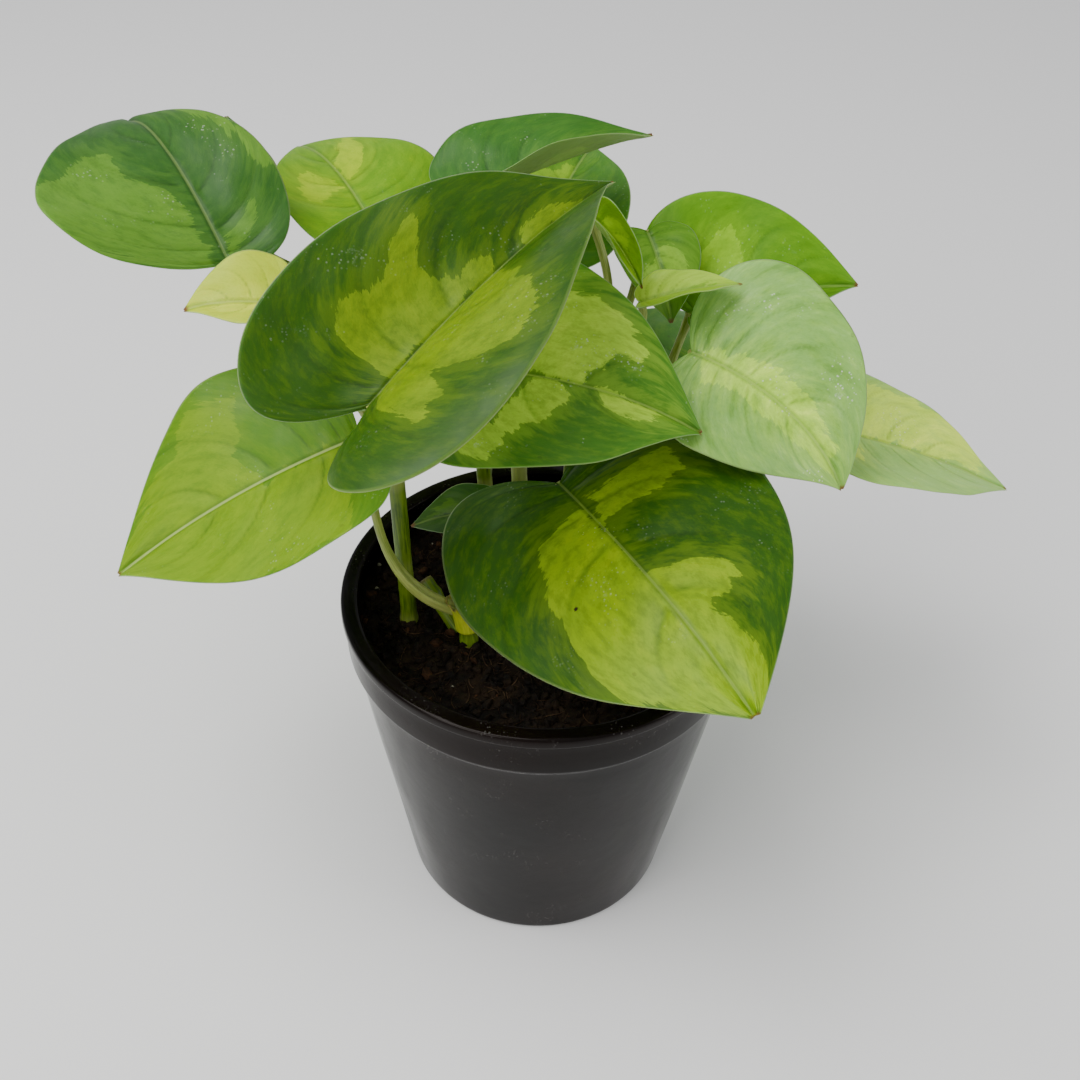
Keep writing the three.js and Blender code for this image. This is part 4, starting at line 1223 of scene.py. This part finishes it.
def make_fibres(name, count, lengths, thickness, material, seed):
    """Rootlets and bark threads: thin three-sided bars along gently curving lines that lie on
    the soil with their ends lifted."""
    rng = np.random.default_rng(seed)
    steps = 7
    t = np.linspace(-1, 1, steps)
    length = rng.uniform(*lengths, count)
    heading = rng.uniform(0, 2 * math.pi, count)
    bow = rng.uniform(-0.35, 0.35, count)
    lift = rng.uniform(0.05, 0.35, count)
    start = scattered_places(rng, count, margin=lengths[1] / 2 + 1)
    ahead = np.stack([np.cos(heading), np.sin(heading)], -1)
    beside = np.stack([-np.sin(heading), np.cos(heading)], -1)
    flat = (start[:, None, :2] + ahead[:, None] * (t[None, :, None] * length[:, None, None] / 2)
            + beside[:, None] * ((bow * length)[:, None, None] * t[None, :, None] ** 2))
    z = soil_height(flat[..., 0], flat[..., 1]) + 0.25 + (lift * length)[:, None] * t**4 * 0.4
    path = np.concatenate([flat, z[..., None]], -1)
    width = (rng.uniform(*thickness, count)[:, None] * (1 - 0.7 * t**2))[..., None, None]
    turn = circle_angles(3)
    ring = np.cos(turn)[:, None] * np.array([0, 0, 1.0]) - np.sin(turn)[:, None] * np.append(
        beside, np.zeros((count, 1)), 1)[:, None, None]
    rings = path[:, :, None] + width * ring
    vertices, faces = joined_tubes(rings)
    add_piece(name, vertices, faces, material)


# ---------------------------------------------------------------- studio


def make_studio():
    """A plain pale floor and a pale surround."""
    half = FLOOR_HALF
    mesh = bpy.data.meshes.new("studio_floor")
    mesh.from_pydata([(-half, -half, 0), (half, -half, 0), (half, half, 0), (-half, half, 0)], [],
                     [(0, 1, 2, 3)])
    floor = add_object("studio_floor", mesh)
    material, _, shader = new_material("floor_paint")
    shader.inputs["Base Color"].default_value = (0.86, 0.86, 0.86, 1)
    shader.inputs["Roughness"].default_value = 0.9
    mesh.materials.append(material)
    world = bpy.data.worlds.new("studio_air")
    world.use_nodes = True
    air = world.node_tree.nodes["Background"]
    air.inputs["Color"].default_value = (0.97, 0.98, 1.0, 1)
    air.inputs["Strength"].default_value = AIR_STRENGTH
    bpy.context.scene.world = world


def add_lamp(name, place, size, power, tint):
    """A square soft lamp at a place, turned towards the plant."""
    data = bpy.data.lights.new(name, "AREA")
    data.shape = "SQUARE"
    data.size, data.energy, data.color = size, power, tint
    lamp = add_object(name, data)
    lamp.location = place
    lamp.rotation_euler = (Vector(LAMP_AIM) - Vector(place)).to_track_quat("-Z", "Y").to_euler()


def add_camera():
    """The main view: from the front and well above, with a slight roll."""
    data = bpy.data.cameras.new("main_view")
    data.sensor_width = CAMERA_SENSOR
    data.lens = CAMERA_LENS
    data.clip_start, data.clip_end = 0.01, 20
    camera = add_object("main_view", data)
    elevation, roll = math.radians(CAMERA_ELEVATION), math.radians(CAMERA_ROLL)
    back = Vector((0, -math.cos(elevation), math.sin(elevation)))
    level = Vector((1, 0, 0))
    above = back.cross(level)
    right = level * math.cos(roll) + above * math.sin(roll)
    up = above * math.cos(roll) - level * math.sin(roll)
    turn = Matrix((right, up, back)).transposed().to_4x4()
    place = Vector(CAMERA_TARGET) + back * CAMERA_DISTANCE
    camera.matrix_world = Matrix.Translation(place) @ turn
    bpy.context.scene.camera = camera


# ---------------------------------------------------------------- assembly

VINE_SKIN = stem_skin("vine_bark", "3c5a08", "6f8a18", 0.42)
STALK_SKIN = stem_skin("stalk_skin", "71842a", "9aa552", 0.4)
SHEATH_SKIN = stem_skin("sheath_skin", "93a516", "c0c83c", 0.45)
NUB_SKIN = earth_skin("nub_skin", "4a3216", "7a6a34")
EARTH = earth_skin("potting_earth", "0e0b08", "2c2117")
BARK = earth_skin("bark", "180e08", "4c3320")
PERLITE = earth_skin("perlite", "8c877a", "bdb8aa")
FIBRE = earth_skin("fibre", "20150c", "584431")

add_camera()
make_studio()
for lamp_name, (lamp_place, lamp_size, lamp_power, lamp_tint) in LAMPS.items():
    add_lamp(lamp_name, lamp_place, lamp_size, lamp_power, lamp_tint)

make_pot()
make_soil()
make_lumps("soil_crumbs", 4200, (0.3, 1.7), (0.4, 1.3), 0.2, EARTH, 21)
make_lumps("bark_chips", 150, (0.6, 2.3), (0.15, 1.5), 0.0, BARK, 22)
make_lumps("perlite_grains", 9, (0.4, 0.9), (0.8, 1.1), 0.1, PERLITE, 23)
make_fibres("root_fibres", 420, (2.0, 12.0), (0.08, 0.22), FIBRE, 24)
make_root_nubs()
make_stub("cut_stub", (-22.0, -7.0, SOIL_Z - 1), (-31.0, 0.5, SOIL_Z + 10), 1.9, 26)
make_sheath("old_sheath", "front", 3.6, 11.5, 27)
for order, vine_name in enumerate(VINES):
    make_vine(vine_name, VINE_SEED + order)
for order, (leaf_name, leaf_row) in enumerate(LEAVES.items()):
    make_stalk(leaf_name, leaf_row)
    make_blade(leaf_name, leaf_row, COATS[leaf_name], BLADE_SEED + BLADE_SEED_STEP * order)
